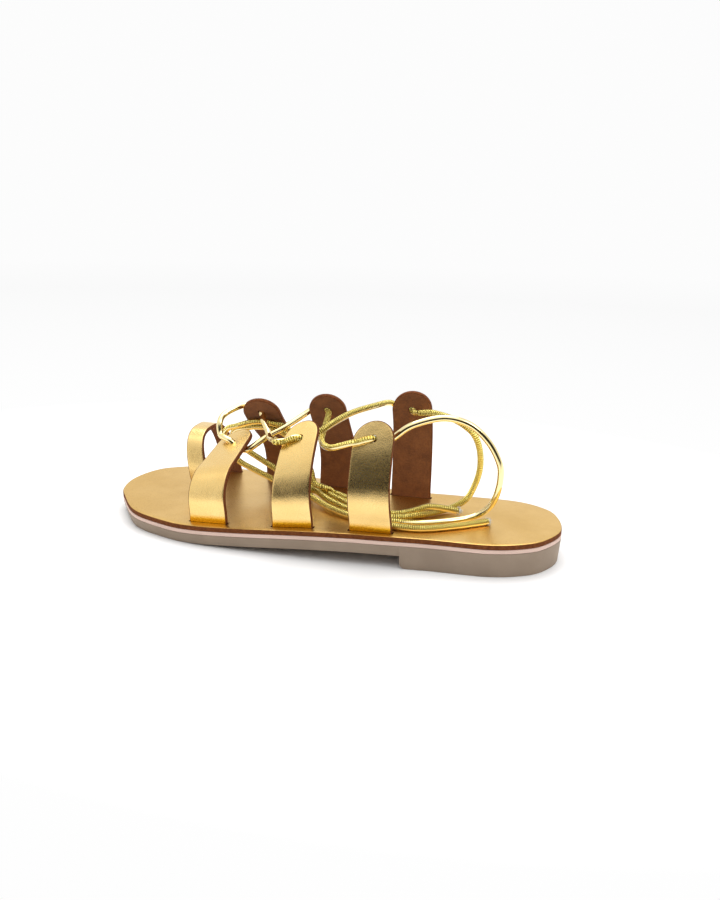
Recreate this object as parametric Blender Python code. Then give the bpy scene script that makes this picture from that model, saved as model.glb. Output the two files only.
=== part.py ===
"""Left gladiator sandal for a woman's foot: a flat layered sole, three pairs of lace straps,
a big-toe loop and one round lace.

Sizes are in millimetres until a mesh is made.  +X runs to the toe, +Y to the outer (lateral)
side and +Z up.  The origin is on the floor under the middle of the footbed.
"""

import math
from typing import NamedTuple

import bmesh
import bpy
import numpy as np
from mathutils import Vector

MM = 0.001

# Driving sizes of the sole
FOOTBED_LENGTH = 250.0
BALL_HALF_WIDTH = 45.5
HEEL_LIFT = 6.9
TOE_SPRING = 1.4
OUTSOLE_THICKNESS = 5.8
MIDSOLE_THICKNESS = 2.1
FOOTBED_THICKNESS = 2.6
SIDE_DRAFT = 1.3
SEAM_GAP = 0.3
HEEL_CORNER_RADIUS = 3.0

# Where the underside changes, as shares of the footbed's length from the heel
HEEL_BREAST = 0.292
ARCH_START = 0.38
BALL_START = 0.78
BALL_END = 0.84

# Driving sizes of the straps and the toe loop
STRAP_LENGTH = 60.0
STRAP_WIDTH = 21.5
STRAP_THICKNESS = 2.2
STRAP_INSET = 7.0
SLIT_CLEARANCE = 0.3
SLIT_END_ROOM = 0.8
HOLE_RADIUS = 2.2
TOE_LOOP_WIDTH = 12.0
TOE_LOOP_TOP_WIDTH = 9.5
TOE_LOOP_RISE = 32.5
TOE_LOOP_FORWARD_LEAN = 0.22
TOE_LOOP_SQUARENESS = 3.0

# Driving sizes of the lace
LACE_DIAMETER = 3.3
LACE_POINT_STEP = 6.5
KNOT_LENGTH = 17.0
KNOT_WIDTH = 12.0
KNOT_HEIGHT = 9.5

# How far to each side a slope is read, and how far inside its tips a line ends, as shares of
# the footbed's length
SLOPE_REACH = 0.02
TIP_MARGIN = 0.0006
BREAST_STEP = 0.0014

# How finely round things are cut
SOLE_STATIONS = 40
STRAP_STEPS = 16
TIP_STEPS = 7
LOOP_STEPS = 30
HOLE_SIDES = 14


class OutlineRow(NamedTuple):
    """One station of the footbed's edge: shares of its length and of the ball's half width."""

    station: float
    lateral: float
    medial: float


OUTLINE = (
    OutlineRow(0.016, 0.265, 0.310),
    OutlineRow(0.048, 0.500, 0.592),
    OutlineRow(0.120, 0.675, 0.712),
    OutlineRow(0.240, 0.758, 0.662),
    OutlineRow(0.380, 0.888, 0.590),
    OutlineRow(0.520, 0.950, 0.735),
    OutlineRow(0.640, 0.988, 0.925),
    OutlineRow(0.740, 0.995, 0.990),
    OutlineRow(0.820, 0.925, 1.000),
    OutlineRow(0.900, 0.767, 0.907),
    OutlineRow(0.960, 0.440, 0.697),
    OutlineRow(0.988, 0.225, 0.460),
)
TOE_TIP_SHIFT = -0.10


class StrapRow(NamedTuple):
    """One strap: where its slit lies, and how far it leans at 15 %, 50 % and 100 % of its length.

    The station is a share of the footbed's length, the inset of STRAP_INSET and the length of
    STRAP_LENGTH.  The tip's width and the hole's distance from the tip are shares of STRAP_WIDTH.
    """

    name: str
    side: int
    station: float
    inset: float
    length: float
    lean_low: float
    lean_middle: float
    lean_tip: float
    turn: float
    rise: float
    tip_width: float
    hole_from_tip: float


STRAPS = (
    StrapRow("strap_front_lateral", 1, 0.7070, 0.986, 1.080, -9, 73, 69, -1.0, 18.0, 0.912, 0.521),
    StrapRow("strap_middle_lateral", 1, 0.5176, 0.843, 0.945, -12, 28, 46, 6.0, 17.0, 0.865, 0.437),
    StrapRow("strap_rear_lateral", 1, 0.3544, 0.771, 0.953, -18, 15, 27, 6.0, 6.0, 0.958, 0.414),
    StrapRow("strap_front_medial", -1, 0.6680, 1.143, 1.125, 3, 50, 32, 7.0, 8.0, 1.000, 0.447),
    StrapRow("strap_middle_medial", -1, 0.5168, 1.114, 1.048, -8, 32, 25, 9.0, 8.0, 0.986, 0.451),
    StrapRow("strap_rear_medial", -1, 0.3384, 1.057, 0.997, -7, -1, 20, 2.0, 8.0, 0.986, 0.488),
)

TOE_LOOP_STATION = 0.8124
TOE_LOOP_INNER_EDGE = 3.3
TOE_LOOP_INSET = 5.4


class Finish(NamedTuple):
    """Colour, roughness and metallic share of one material."""

    colour: tuple
    roughness: float
    metallic: float


FINISHES = {
    "taupe_rubber": Finish((0.39, 0.32, 0.25), 0.62, 0.0),
    "pink_midsole": Finish((0.72, 0.55, 0.50), 0.6, 0.0),
    "gold_leather": Finish((0.80, 0.58, 0.24), 0.32, 0.9),
    "footbed_leather": Finish((0.74, 0.53, 0.22), 0.38, 0.85),
    "gold_lace": Finish((0.86, 0.70, 0.30), 0.28, 0.9),
}


def smooth_curve(points, steps, closed=False):
    """Return points on a Catmull-Rom curve through the given points, steps to each stretch."""
    points = [np.asarray(point, dtype=float) for point in points]
    count = len(points)
    if closed:
        padded = [points[-1]] + points + points[:2]
    else:
        padded = [2 * points[0] - points[1]] + points + [2 * points[-1] - points[-2]]
    stretches = count if closed else count - 1
    result = []
    for index in range(stretches):
        before, start, end, after = padded[index:index + 4]
        number = steps[index] if isinstance(steps, (list, tuple)) else steps
        for step in range(number):
            t = step / number
            result.append(0.5 * (2 * start + (end - before) * t
                                 + (2 * before - 5 * start + 4 * end - after) * t ** 2
                                 + (3 * start - before - 3 * end + after) * t ** 3))
    if not closed:
        result.append(points[-1])
    return np.array(result)


class Outline:
    """The footbed's edge, or a line inside it, read as two widths along the length."""

    def __init__(self, inset):
        lateral = [(row.station, row.lateral) for row in OUTLINE]
        medial = [(row.station, -row.medial) for row in reversed(OUTLINE)]
        ring = [(0.0, 0.0)] + lateral + [(1.0, TOE_TIP_SHIFT)] + medial
        scaled = [(x * FOOTBED_LENGTH, y * BALL_HALF_WIDTH) for x, y in ring]
        curve = smooth_curve(scaled, 24, closed=True)
        low, high = curve[:, 0].min(), curve[:, 0].max()
        curve[:, 0] = (curve[:, 0] - low) * FOOTBED_LENGTH / (high - low)
        outer = curve[:, 1].max()
        inner = -curve[:, 1].min()
        curve[:, 1] = np.where(curve[:, 1] > 0, curve[:, 1] * BALL_HALF_WIDTH / outer,
                               curve[:, 1] * BALL_HALF_WIDTH / inner)
        along = np.roll(curve, -1, axis=0) - np.roll(curve, 1, axis=0)
        inward = np.stack([along[:, 1], -along[:, 0]], axis=1)
        inward /= np.linalg.norm(inward, axis=1)[:, None]
        curve = curve + inward * inset
        heel = int(curve[:, 0].argmin())
        curve = np.roll(curve, -heel, axis=0)
        toe = int(curve[:, 0].argmax())
        self.start = curve[0, 0]
        self.end = curve[toe, 0]
        self.lateral = curve[:toe + 1]
        self.medial = np.vstack([curve[toe:], curve[:1]])[::-1]

    def widths(self, x):
        """Return the lateral and medial edge at a distance from the heel."""
        margin = TIP_MARGIN * FOOTBED_LENGTH
        reach = np.clip(x, self.start + margin, self.end - margin)
        lateral = np.interp(reach, self.lateral[:, 0], self.lateral[:, 1])
        medial = np.interp(reach, self.medial[:, 0], self.medial[:, 1])
        return lateral, medial

    def at_share(self, share):
        """Return the distance from the heel at a share of this line's own length."""
        return self.start + share * (self.end - self.start)


EDGE = Outline(0.0)


def slab_underside(x):
    """Return the height of the sole slab's underside at a distance from the heel."""
    share = x / FOOTBED_LENGTH
    blend = min(max((share - ARCH_START) / (BALL_START - ARCH_START), 0.0), 1.0)
    eased = 0.45 * blend * blend * (3 - 2 * blend) + 0.55 * blend
    toe = max((share - BALL_END) / (1 - BALL_END), 0.0)
    return HEEL_LIFT * (1 - eased) + TOE_SPRING * toe ** 2


def floor_side(x):
    """Return the height of the outsole's bottom, with the heel block and its rounded breast."""
    breast = HEEL_BREAST * FOOTBED_LENGTH
    start = breast - HEEL_CORNER_RADIUS
    if x <= start:
        return 0.0
    if x > breast:
        return slab_underside(x)
    reach = min(x - start, HEEL_CORNER_RADIUS)
    corner = HEEL_CORNER_RADIUS - math.sqrt(HEEL_CORNER_RADIUS ** 2 - reach ** 2)
    return corner


def outsole_top(x):
    return slab_underside(x) + OUTSOLE_THICKNESS


def midsole_top(x):
    return outsole_top(x) + MIDSOLE_THICKNESS


def footbed_top(x):
    return midsole_top(x) + FOOTBED_THICKNESS


def to_world(x, y, z):
    """Turn a place measured from the heel, in millimetres, into the model's metres."""
    return Vector(((x - FOOTBED_LENGTH / 2) * MM, y * MM, z * MM))


def make_material(name):
    """Return the Principled material of one finish."""
    finish = FINISHES[name]
    material = bpy.data.materials.get(name) or bpy.data.materials.new(name)
    material.use_nodes = True
    shader = material.node_tree.nodes["Principled BSDF"]
    shader.inputs["Base Color"].default_value = (*finish.colour, 1.0)
    shader.inputs["Roughness"].default_value = finish.roughness
    shader.inputs["Metallic"].default_value = finish.metallic
    return material


def add_object(name, vertices, faces, material, smooth_angle=40.0):
    """Make one object from vertices in metres and its faces, turned outwards."""
    mesh = bpy.data.meshes.new(name)
    mesh.from_pydata([tuple(vertex) for vertex in vertices], [], faces)
    work = bmesh.new()
    work.from_mesh(mesh)
    bmesh.ops.recalc_face_normals(work, faces=work.faces)
    work.to_mesh(mesh)
    work.free()
    mesh.shade_smooth()
    mesh.set_sharp_from_angle(angle=math.radians(smooth_angle))
    mesh.materials.append(make_material(material))
    shape = bpy.data.objects.new(name, mesh)
    bpy.context.scene.collection.objects.link(shape)
    return shape


def loft(name, sections, material):
    """Skin a row of four-cornered sections and close both ends."""
    vertices = [corner for section in sections for corner in section]
    size = len(sections[0])
    faces = [tuple(range(size)), tuple(range(len(vertices) - size, len(vertices)))]
    for index in range(len(sections) - 1):
        base = index * size
        for corner in range(size):
            following = (corner + 1) % size
            faces.append((base + corner, base + following,
                          base + size + following, base + size + corner))
    return add_object(name, vertices, faces, material)


def sole_shares():
    """Return the stations of the sole, close together at its round ends and at the breast."""
    shares = [(1 - math.cos(math.pi * step / SOLE_STATIONS)) / 2 for step in range(SOLE_STATIONS + 1)]
    shares += [BALL_START, BALL_END]
    return sorted(shares)


def breast_shares(outline):
    """Return the extra stations that round the heel's front corner, for one bottom line."""
    breast = HEEL_BREAST * FOOTBED_LENGTH
    reaches = [HEEL_CORNER_RADIUS * math.sin(math.radians(angle)) for angle in (0, 25, 48, 68, 90)]
    places = [breast - HEEL_CORNER_RADIUS + reach for reach in reaches]
    places.append(breast + BREAST_STEP * FOOTBED_LENGTH)
    return [(place - outline.start) / (outline.end - outline.start) for place in places]


def make_layer(name, top_line, bottom_line, top_height, bottom_height, material, extra=()):
    """Make one layer of the sole between two outlines and two heights."""
    sections = []
    for share in sorted(set(sole_shares()) | set(extra)):
        top_x = top_line.at_share(share)
        bottom_x = bottom_line.at_share(share)
        top_lateral, top_medial = top_line.widths(top_x)
        bottom_lateral, bottom_medial = bottom_line.widths(bottom_x)
        sections.append((
            to_world(top_x, top_lateral, top_height(top_x)),
            to_world(top_x, top_medial, top_height(top_x)),
            to_world(bottom_x, bottom_medial, bottom_height(bottom_x)),
            to_world(bottom_x, bottom_lateral, bottom_height(bottom_x)),
        ))
    return loft(name, sections, material)


def cut(shape, cutter):
    """Cut one guide solid out of a shape."""
    cutter.hide_render = True
    cutter.display_type = "WIRE"
    step = shape.modifiers.new("cut " + cutter.name, "BOOLEAN")
    step.operation = "DIFFERENCE"
    step.solver = "EXACT"
    step.object = cutter


def box_cutter(name, centre, along, length, width, height):
    """Make an upright box that stands on a slit's line."""
    across = Vector((-along.y, along.x, 0.0))
    corners = []
    for up in (-height / 2, height / 2):
        for a, b in ((-1, -1), (1, -1), (1, 1), (-1, 1)):
            corners.append(centre + along * (a * length / 2) + across * (b * width / 2)
                           + Vector((0.0, 0.0, up)))
    faces = [(0, 1, 2, 3), (4, 5, 6, 7)] + [(k, (k + 1) % 4, (k + 1) % 4 + 4, k + 4) for k in range(4)]
    return add_object(name, corners, faces, "footbed_leather")


class Strap:
    """A strap's middle surface, worked out from its row, with its hole and its foot."""

    def __init__(self, row):
        self.row = row
        self.x = row.station * FOOTBED_LENGTH
        reach = SLOPE_REACH * FOOTBED_LENGTH
        lateral, medial = EDGE.widths(self.x)
        before = EDGE.widths(self.x - reach)
        after = EDGE.widths(self.x + reach)
        edge = lateral if row.side > 0 else medial
        ahead = (after[0] - before[0]) if row.side > 0 else (after[1] - before[1])
        self.y = edge - row.side * row.inset * STRAP_INSET
        self.length = row.length * STRAP_LENGTH
        self.hole_length = self.length - row.hole_from_tip * STRAP_WIDTH
        self.yaw = math.atan2(ahead, 2 * reach) * 0.5 + math.radians(row.turn) * 0.5
        self.slope = (footbed_top(self.x + reach) - footbed_top(self.x - reach)) / (2 * reach)
        self.depth = FOOTBED_THICKNESS - SEAM_GAP
        steps = 120
        lengths = np.linspace(0.0, self.length, steps + 1)
        leans = np.radians(np.interp(lengths / self.length, (0.0, 0.15, 0.5, 1.0),
                                     (0.0, row.lean_low, row.lean_middle, row.lean_tip)))
        stride = self.length / steps
        middle = (leans[1:] + leans[:-1]) / 2
        self.lengths = lengths
        self.leans = leans
        self.inwards = np.concatenate([[0.0], np.cumsum(np.sin(middle) * stride)])
        self.heights = np.concatenate([[0.0], np.cumsum(np.cos(middle) * stride)])

    def frame(self, length):
        """Return the place, the directions across, up and outward at a length up the strap."""
        inward = np.interp(length, self.lengths, self.inwards)
        height = np.interp(length, self.lengths, self.heights) + min(length, 0.0)
        lean = float(np.interp(length, self.lengths, self.leans))
        share = max(length, 0.0) / self.length
        fall = self.slope * (1 - share) - math.tan(math.radians(self.row.rise)) * share
        place = Vector((self.x, self.y - self.row.side * inward, footbed_top(self.x) + height))
        across = Vector((math.cos(self.yaw), math.sin(self.yaw), fall))
        up = Vector((0.0, -self.row.side * math.sin(lean), math.cos(lean)))
        outward = (up.cross(across) * self.row.side).normalized()
        return place, across, up, outward

    def near_hole(self, outward, forward, up=0.0):
        """Return a place set off from the hole's centre, in the strap's own directions."""
        place, across, rising, away = self.frame(self.hole_length)
        return place + away * outward + across * forward + rising * up

    def section(self, length, half_width):
        """Return the four corners of the strap's cross-section."""
        place, across, _, outward = self.frame(length)
        half = STRAP_THICKNESS / 2
        return [to_world(*(place + across * (half_width * a) + outward * (half * b)))
                for a, b in ((1, 1), (-1, 1), (-1, -1), (1, -1))]

    def build(self):
        """Make the strap, its slit's cutter and its hole."""
        tip = self.row.tip_width * STRAP_WIDTH / 2
        sections = [self.section(-self.depth, STRAP_WIDTH / 2)]
        for step in range(STRAP_STEPS + 1):
            length = (self.length - tip) * step / STRAP_STEPS
            half = STRAP_WIDTH / 2 + (tip - STRAP_WIDTH / 2) * step / STRAP_STEPS
            sections.append(self.section(length, half))
        for step in range(1, TIP_STEPS + 1):
            angle = math.radians(86.0) * step / TIP_STEPS
            sections.append(self.section(self.length - tip + tip * math.sin(angle), tip * math.cos(angle)))
        shape = loft(self.row.name, sections, "gold_leather")
        cut(shape, self.hole_cutter())
        return shape

    def hole_cutter(self):
        """Make the punch that leaves the strap's lace hole."""
        place, across, _, outward = self.frame(self.hole_length)
        level = across.normalized()
        upright = outward.cross(level)
        rings = []
        for reach in (-STRAP_THICKNESS * 1.5, STRAP_THICKNESS * 1.5):
            ring = []
            for side in range(HOLE_SIDES):
                angle = 2 * math.pi * side / HOLE_SIDES
                spoke = level * math.cos(angle) + upright * math.sin(angle)
                ring.append(to_world(*(place + outward * reach + spoke * HOLE_RADIUS)))
            rings.append(ring)
        return loft("punch_" + self.row.name, rings, "gold_leather")

    def slit_cutter(self):
        """Make the box that cuts this strap's slit in the footbed."""
        along = Vector((math.cos(self.yaw), math.sin(self.yaw), 0.0))
        return box_cutter("slit_" + self.row.name, to_world(self.x, self.y, footbed_top(self.x)), along,
                          (STRAP_WIDTH / math.cos(self.yaw) + 2 * SLIT_END_ROOM) * MM,
                          (STRAP_THICKNESS + 2 * SLIT_CLEARANCE) * MM, 4 * FOOTBED_THICKNESS * MM)


class ToeLoop:
    """The narrow arch over the big toe, a rounded square in the width with a lean forward."""

    def __init__(self):
        self.x = TOE_LOOP_STATION * FOOTBED_LENGTH
        _, medial = EDGE.widths(self.x)
        self.inner = -TOE_LOOP_INNER_EDGE
        self.outer = medial + TOE_LOOP_INSET
        self.depth = FOOTBED_THICKNESS - SEAM_GAP

    def profile(self, angle):
        """Return the place in the arch's own plane: distance across and height."""
        power = 2 / TOE_LOOP_SQUARENESS
        cosine = math.cos(angle)
        reach = math.copysign(abs(cosine) ** power, cosine)
        middle = (self.inner + self.outer) / 2
        half = (self.inner - self.outer) / 2
        return middle + half * reach, TOE_LOOP_RISE * abs(math.sin(angle)) ** power

    def section(self, angle, y, height, outward):
        """Return the four corners of the loop's cross-section."""
        share = math.sin(angle)
        width = TOE_LOOP_WIDTH + (TOE_LOOP_TOP_WIDTH - TOE_LOOP_WIDTH) * share
        x = self.x + TOE_LOOP_FORWARD_LEAN * max(height, 0.0)
        base = footbed_top(self.x)
        half = STRAP_THICKNESS / 2
        return [to_world(x + a * width / 2, y + outward[0] * half * b, base + height + outward[1] * half * b)
                for a, b in ((1, 1), (-1, 1), (-1, -1), (1, -1))]

    def build(self):
        """Make the loop with both feet down in their slits."""
        angles = [math.pi * step / LOOP_STEPS for step in range(LOOP_STEPS + 1)]
        places = [self.profile(angle) for angle in angles]
        sections = [self.section(0.0, self.inner, -self.depth, (1.0, 0.0))]
        for index, angle in enumerate(angles):
            before = places[max(index - 1, 0)]
            after = places[min(index + 1, LOOP_STEPS)]
            along = (after[0] - before[0], after[1] - before[1])
            size = math.hypot(*along)
            outward = (along[1] / size, -along[0] / size)
            if index in (0, LOOP_STEPS):
                outward = (1.0, 0.0) if index == 0 else (-1.0, 0.0)
            sections.append(self.section(angle, places[index][0], places[index][1], outward))
        sections.append(self.section(math.pi, self.outer, -self.depth, (-1.0, 0.0)))
        return loft("toe_loop", sections, "gold_leather")

    def slit_cutters(self):
        """Make the boxes that cut the loop's two slits in the footbed."""
        return [box_cutter(name, to_world(self.x, y, footbed_top(self.x)), Vector((1.0, 0.0, 0.0)),
                           (TOE_LOOP_WIDTH + 2 * SLIT_CLEARANCE) * MM,
                           (STRAP_THICKNESS + 2 * SLIT_CLEARANCE) * MM, 4 * FOOTBED_THICKNESS * MM)
                for name, y in (("slit_toe_loop_inner", self.inner), ("slit_toe_loop_outer", self.outer))]


def from_middle(x, y, z):
    """Read a place given from the middle of the footbed as one measured from the heel."""
    return Vector((x + FOOTBED_LENGTH / 2, y, z))


def route_points(points):
    """Return the lace's centreline through its route, a point every few diameters."""
    steps = []
    for start, end in zip(points[:-1], points[1:]):
        steps.append(max(1, round((Vector(end) - Vector(start)).length / LACE_POINT_STEP)))
    return smooth_curve([tuple(point) for point in points], steps)


def make_lace(name, points):
    """Make one plain stretch of lace as a bevelled curve with closed ends."""
    curve = bpy.data.curves.new(name, "CURVE")
    curve.dimensions = "3D"
    curve.bevel_depth = LACE_DIAMETER / 2 * MM
    curve.bevel_resolution = 2
    curve.use_fill_caps = True
    centreline = route_points(points)
    spline = curve.splines.new("POLY")
    spline.points.add(len(centreline) - 1)
    for target, place in zip(spline.points, centreline):
        target.co = (*to_world(*place), 1.0)
    curve.materials.append(make_material("gold_lace"))
    shape = bpy.data.objects.new(name, curve)
    bpy.context.scene.collection.objects.link(shape)
    return shape


def through_hole(strap, inwards):
    """Return the lace's places at one hole: in from the front of the outer face, or out to it."""
    places = [strap.near_hole(3.5, 6.2, -1.5), strap.near_hole(3.5, 3.2, -0.6),
              strap.near_hole(2.5, 0.5), strap.near_hole(-1.8, -0.2), strap.near_hole(-3.6, -1.3)]
    return places if inwards else places[::-1]


def lace_crossings_route(straps):
    """Return the one run of lace that goes through all six holes and crosses the foot."""
    front_outer = straps["strap_front_lateral"]
    middle_outer = straps["strap_middle_lateral"]
    rear_outer = straps["strap_rear_lateral"]
    front_inner = straps["strap_front_medial"]
    middle_inner = straps["strap_middle_medial"]
    rear_inner = straps["strap_rear_medial"]
    return [
        rear_outer.near_hole(-5.4, -5.0, 0.3),
        *through_hole(rear_outer, True)[::-1],
        rear_outer.near_hole(3.6, 10.4, -4.2),
        from_middle(-15.0, 31.5, 56.2),
        from_middle(-6.0, 20.5, 53.5),
        from_middle(-1.0, 10.5, 55.5),
        from_middle(0.5, 0.5, 60.0),
        *through_hole(middle_inner, False),
        middle_inner.near_hole(4.4, 12.5, -5.0),
        from_middle(27.0, -7.4, 53.4),
        from_middle(35.0, -0.8, 49.0),
        front_outer.near_hole(-5.0, -7.5, 0.0),
        *through_hole(front_outer, False),
        from_middle(62.0, 5.0, 52.4),
        from_middle(63.0, 0.5, 56.6),
        from_middle(61.8, -3.5, 59.8),
        front_inner.near_hole(4.0, 12.0, 0.5),
        *through_hole(front_inner, True),
        from_middle(38.0, -2.0, 56.8),
        from_middle(33.2, 3.5, 53.6),
        from_middle(29.0, 9.5, 51.6),
        from_middle(22.0, 17.5, 52.3),
        middle_outer.near_hole(4.6, 11.6, -3.6),
        *through_hole(middle_outer, True),
        from_middle(-2.5, 17.0, 60.4),
        from_middle(-13.0, 4.0, 66.6),
        from_middle(-23.0, -11.5, 69.4),
        rear_inner.near_hole(4.4, 12.4, 1.0),
        *through_hole(rear_inner, True),
        rear_inner.near_hole(-5.4, -5.0, 0.3),
    ]


def past_end(route, gap):
    """Return the place just past a route's last point, in the direction it leaves."""
    last = Vector(route[-1])
    return last + (last - Vector(route[-2])).normalized() * gap


KNOT_CENTRE = from_middle(11.5, -2.5, 20.9)


def lace_runs(crossings):
    """Return the free stretches of lace, each with its own chosen points."""
    lateral_exit = [past_end(crossings[::-1], gap) for gap in (SEAM_GAP, SEAM_GAP + LACE_DIAMETER)]
    medial_exit = [past_end(crossings, gap) for gap in (SEAM_GAP, SEAM_GAP + LACE_DIAMETER)]
    lateral_loop = [
        *lateral_exit,
        from_middle(-52.5, 18.5, 69.6),
        from_middle(-66.5, 12.5, 73.0),
        from_middle(-78.5, 8.5, 69.8),
        from_middle(-87.5, 5.8, 61.3),
        from_middle(-93.0, 4.2, 50.8),
        from_middle(-94.0, 3.6, 42.8),
        from_middle(-92.2, 3.0, 32.8),
        from_middle(-88.0, 2.4, 24.9),
        from_middle(-80.5, 4.5, 19.9),
        from_middle(-69.0, 13.6, 19.3),
        from_middle(-56.0, 20.4, 19.25),
        from_middle(-42.0, 21.8, 19.2),
        from_middle(-28.0, 18.0, 19.1),
        from_middle(-15.4, 12.4, 18.8),
        from_middle(-5.6, 6.2, 18.7),
        from_middle(1.5, 0.6, 19.2),
    ]
    medial_loop = [
        *medial_exit,
        from_middle(-55.0, -10.2, 68.2),
        from_middle(-65.5, -7.0, 67.2),
        from_middle(-72.5, -5.6, 64.6),
        from_middle(-77.8, -5.4, 60.2),
        from_middle(-80.6, -6.4, 52.2),
        from_middle(-80.6, -8.2, 41.6),
        from_middle(-77.6, -9.8, 31.2),
        from_middle(-73.4, -9.4, 23.4),
        from_middle(-66.0, -3.6, 19.6),
        from_middle(-55.0, 8.8, 19.3),
        from_middle(-42.0, 16.8, 19.2),
        from_middle(-28.0, 13.2, 19.1),
        from_middle(-16.2, 6.4, 18.8),
        from_middle(-7.6, 0.6, 18.9),
        from_middle(1.5, -4.1, 19.4),
    ]
    lateral_bow = [
        from_middle(21.7, -1.6, 19.3),
        from_middle(28.5, -5.6, 19.6),
        from_middle(36.5, -7.8, 21.6),
        from_middle(47.0, -8.0, 25.4),
        from_middle(57.0, -8.2, 29.6),
        from_middle(63.6, -8.2, 36.4),
        from_middle(66.0, -8.2, 43.2),
        from_middle(63.4, -8.2, 48.0),
        from_middle(58.4, -8.2, 49.8),
        from_middle(50.8, -8.2, 52.6),
        from_middle(44.2, -8.2, 54.0),
        from_middle(36.8, -8.6, 53.8),
        from_middle(29.2, -10.4, 51.4),
        from_middle(21.6, -10.6, 45.0),
        from_middle(16.0, -7.4, 36.0),
        from_middle(12.0, -3.4, 27.7),
    ]
    medial_bow = [
        from_middle(21.4, -5.4, 21.2),
        from_middle(28.8, -9.6, 23.0),
        from_middle(36.6, -12.1, 26.2),
        from_middle(45.6, -12.1, 30.8),
        from_middle(54.0, -12.1, 35.2),
        from_middle(60.0, -12.1, 39.2),
        from_middle(62.6, -12.1, 43.4),
        from_middle(60.0, -12.1, 46.4),
        from_middle(52.6, -12.3, 48.6),
        from_middle(45.8, -12.6, 49.6),
        from_middle(38.4, -13.0, 49.2),
        from_middle(29.6, -13.6, 45.6),
        from_middle(22.6, -12.4, 37.6),
        from_middle(18.2, -6.3, 26.6),
    ]
    long_end = [
        from_middle(4.6, 4.0, 19.6),
        from_middle(-0.6, 9.6, 18.7),
        from_middle(-8.0, 15.2, 18.9),
        from_middle(-16.0, 19.6, 19.0),
        from_middle(-28.0, 24.0, 19.1),
        from_middle(-44.0, 27.6, 19.2),
        from_middle(-60.0, 26.0, 19.2),
        from_middle(-76.0, 16.4, 19.2),
        from_middle(-89.0, 5.6, 19.2),
    ]
    short_end = [
        from_middle(3.0, -8.4, 20.4),
        from_middle(-3.4, -6.4, 19.2),
        from_middle(-10.4, -2.6, 19.0),
        from_middle(-17.6, 1.2, 18.9),
        from_middle(-28.0, 8.4, 19.1),
        from_middle(-41.0, 11.8, 19.2),
        from_middle(-50.0, 8.0, 20.4),
        from_middle(-57.0, 4.2, 22.4),
        from_middle(-64.0, 0.4, 22.8),
        from_middle(-70.6, -3.2, 22.8),
    ]
    return {
        "lace_loop_lateral": lateral_loop,
        "lace_loop_medial": medial_loop,
        "lace_bow_lateral": lateral_bow,
        "lace_bow_medial": medial_bow,
        "lace_end_long": long_end,
        "lace_end_short": short_end,
    }


def make_knot():
    """Make the knot's plain outer shape, an egg with a raised wrap round its middle."""
    rings = 9
    sides = 12
    vertices = [to_world(*(KNOT_CENTRE + Vector((-KNOT_LENGTH / 2, 0, 0))))]
    for ring in range(1, rings):
        turn = math.pi * ring / rings
        swell = 1.0 + 0.12 * math.sin(turn) ** 6
        for side in range(sides):
            angle = 2 * math.pi * side / sides
            offset = Vector((-KNOT_LENGTH / 2 * math.cos(turn),
                             KNOT_WIDTH / 2 * math.sin(turn) * math.cos(angle) * swell,
                             KNOT_HEIGHT / 2 * math.sin(turn) * math.sin(angle) * swell))
            vertices.append(to_world(*(KNOT_CENTRE + offset)))
    vertices.append(to_world(*(KNOT_CENTRE + Vector((KNOT_LENGTH / 2, 0, 0)))))
    last = len(vertices) - 1
    faces = []
    for side in range(sides):
        following = (side + 1) % sides
        faces.append((0, 1 + side, 1 + following))
        faces.append((last, last - sides + side, last - sides + following))
        for ring in range(rings - 2):
            base = 1 + ring * sides
            faces.append((base + side, base + following, base + sides + following, base + sides + side))
    return add_object("lace_knot", vertices, faces, "gold_lace", smooth_angle=80.0)


def build_sole():
    """Make the outsole, the midsole and the uncut footbed."""
    drafted = Outline(SIDE_DRAFT)
    make_layer("outsole", EDGE, drafted, outsole_top, floor_side, "taupe_rubber",
               extra=breast_shares(drafted))
    make_layer("midsole", EDGE, EDGE, midsole_top, lambda x: outsole_top(x) + SEAM_GAP, "pink_midsole")
    return make_layer("footbed", EDGE, EDGE, footbed_top, lambda x: midsole_top(x) + SEAM_GAP,
                      "footbed_leather")


def build():
    """Make the whole sandal."""
    for old in list(bpy.data.objects):
        bpy.data.objects.remove(old)
    footbed = build_sole()
    straps = {row.name: Strap(row) for row in STRAPS}
    for strap in straps.values():
        strap.build()
        cut(footbed, strap.slit_cutter())
    toe_loop = ToeLoop()
    toe_loop.build()
    for cutter in toe_loop.slit_cutters():
        cut(footbed, cutter)
    crossings = lace_crossings_route(straps)
    make_lace("lace_crossings", crossings)
    for name, points in lace_runs(crossings).items():
        make_lace(name, points)
    make_knot()


build()
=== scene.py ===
"""Dressed left gladiator sandal: layered sole, gold lace straps, a toe loop and one round gold lace.

Sizes are in millimetres until a mesh is made.  +X runs to the toe, +Y to the outer side and +Z up.
The origin is on the floor under the middle of the footbed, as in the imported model.
"""

from __future__ import annotations

import logging
import math
from collections.abc import Callable, Sequence
from dataclasses import dataclass
from enum import Enum

import bmesh
import bpy
import numpy as np
from mathutils import Matrix, Vector, noise


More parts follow.
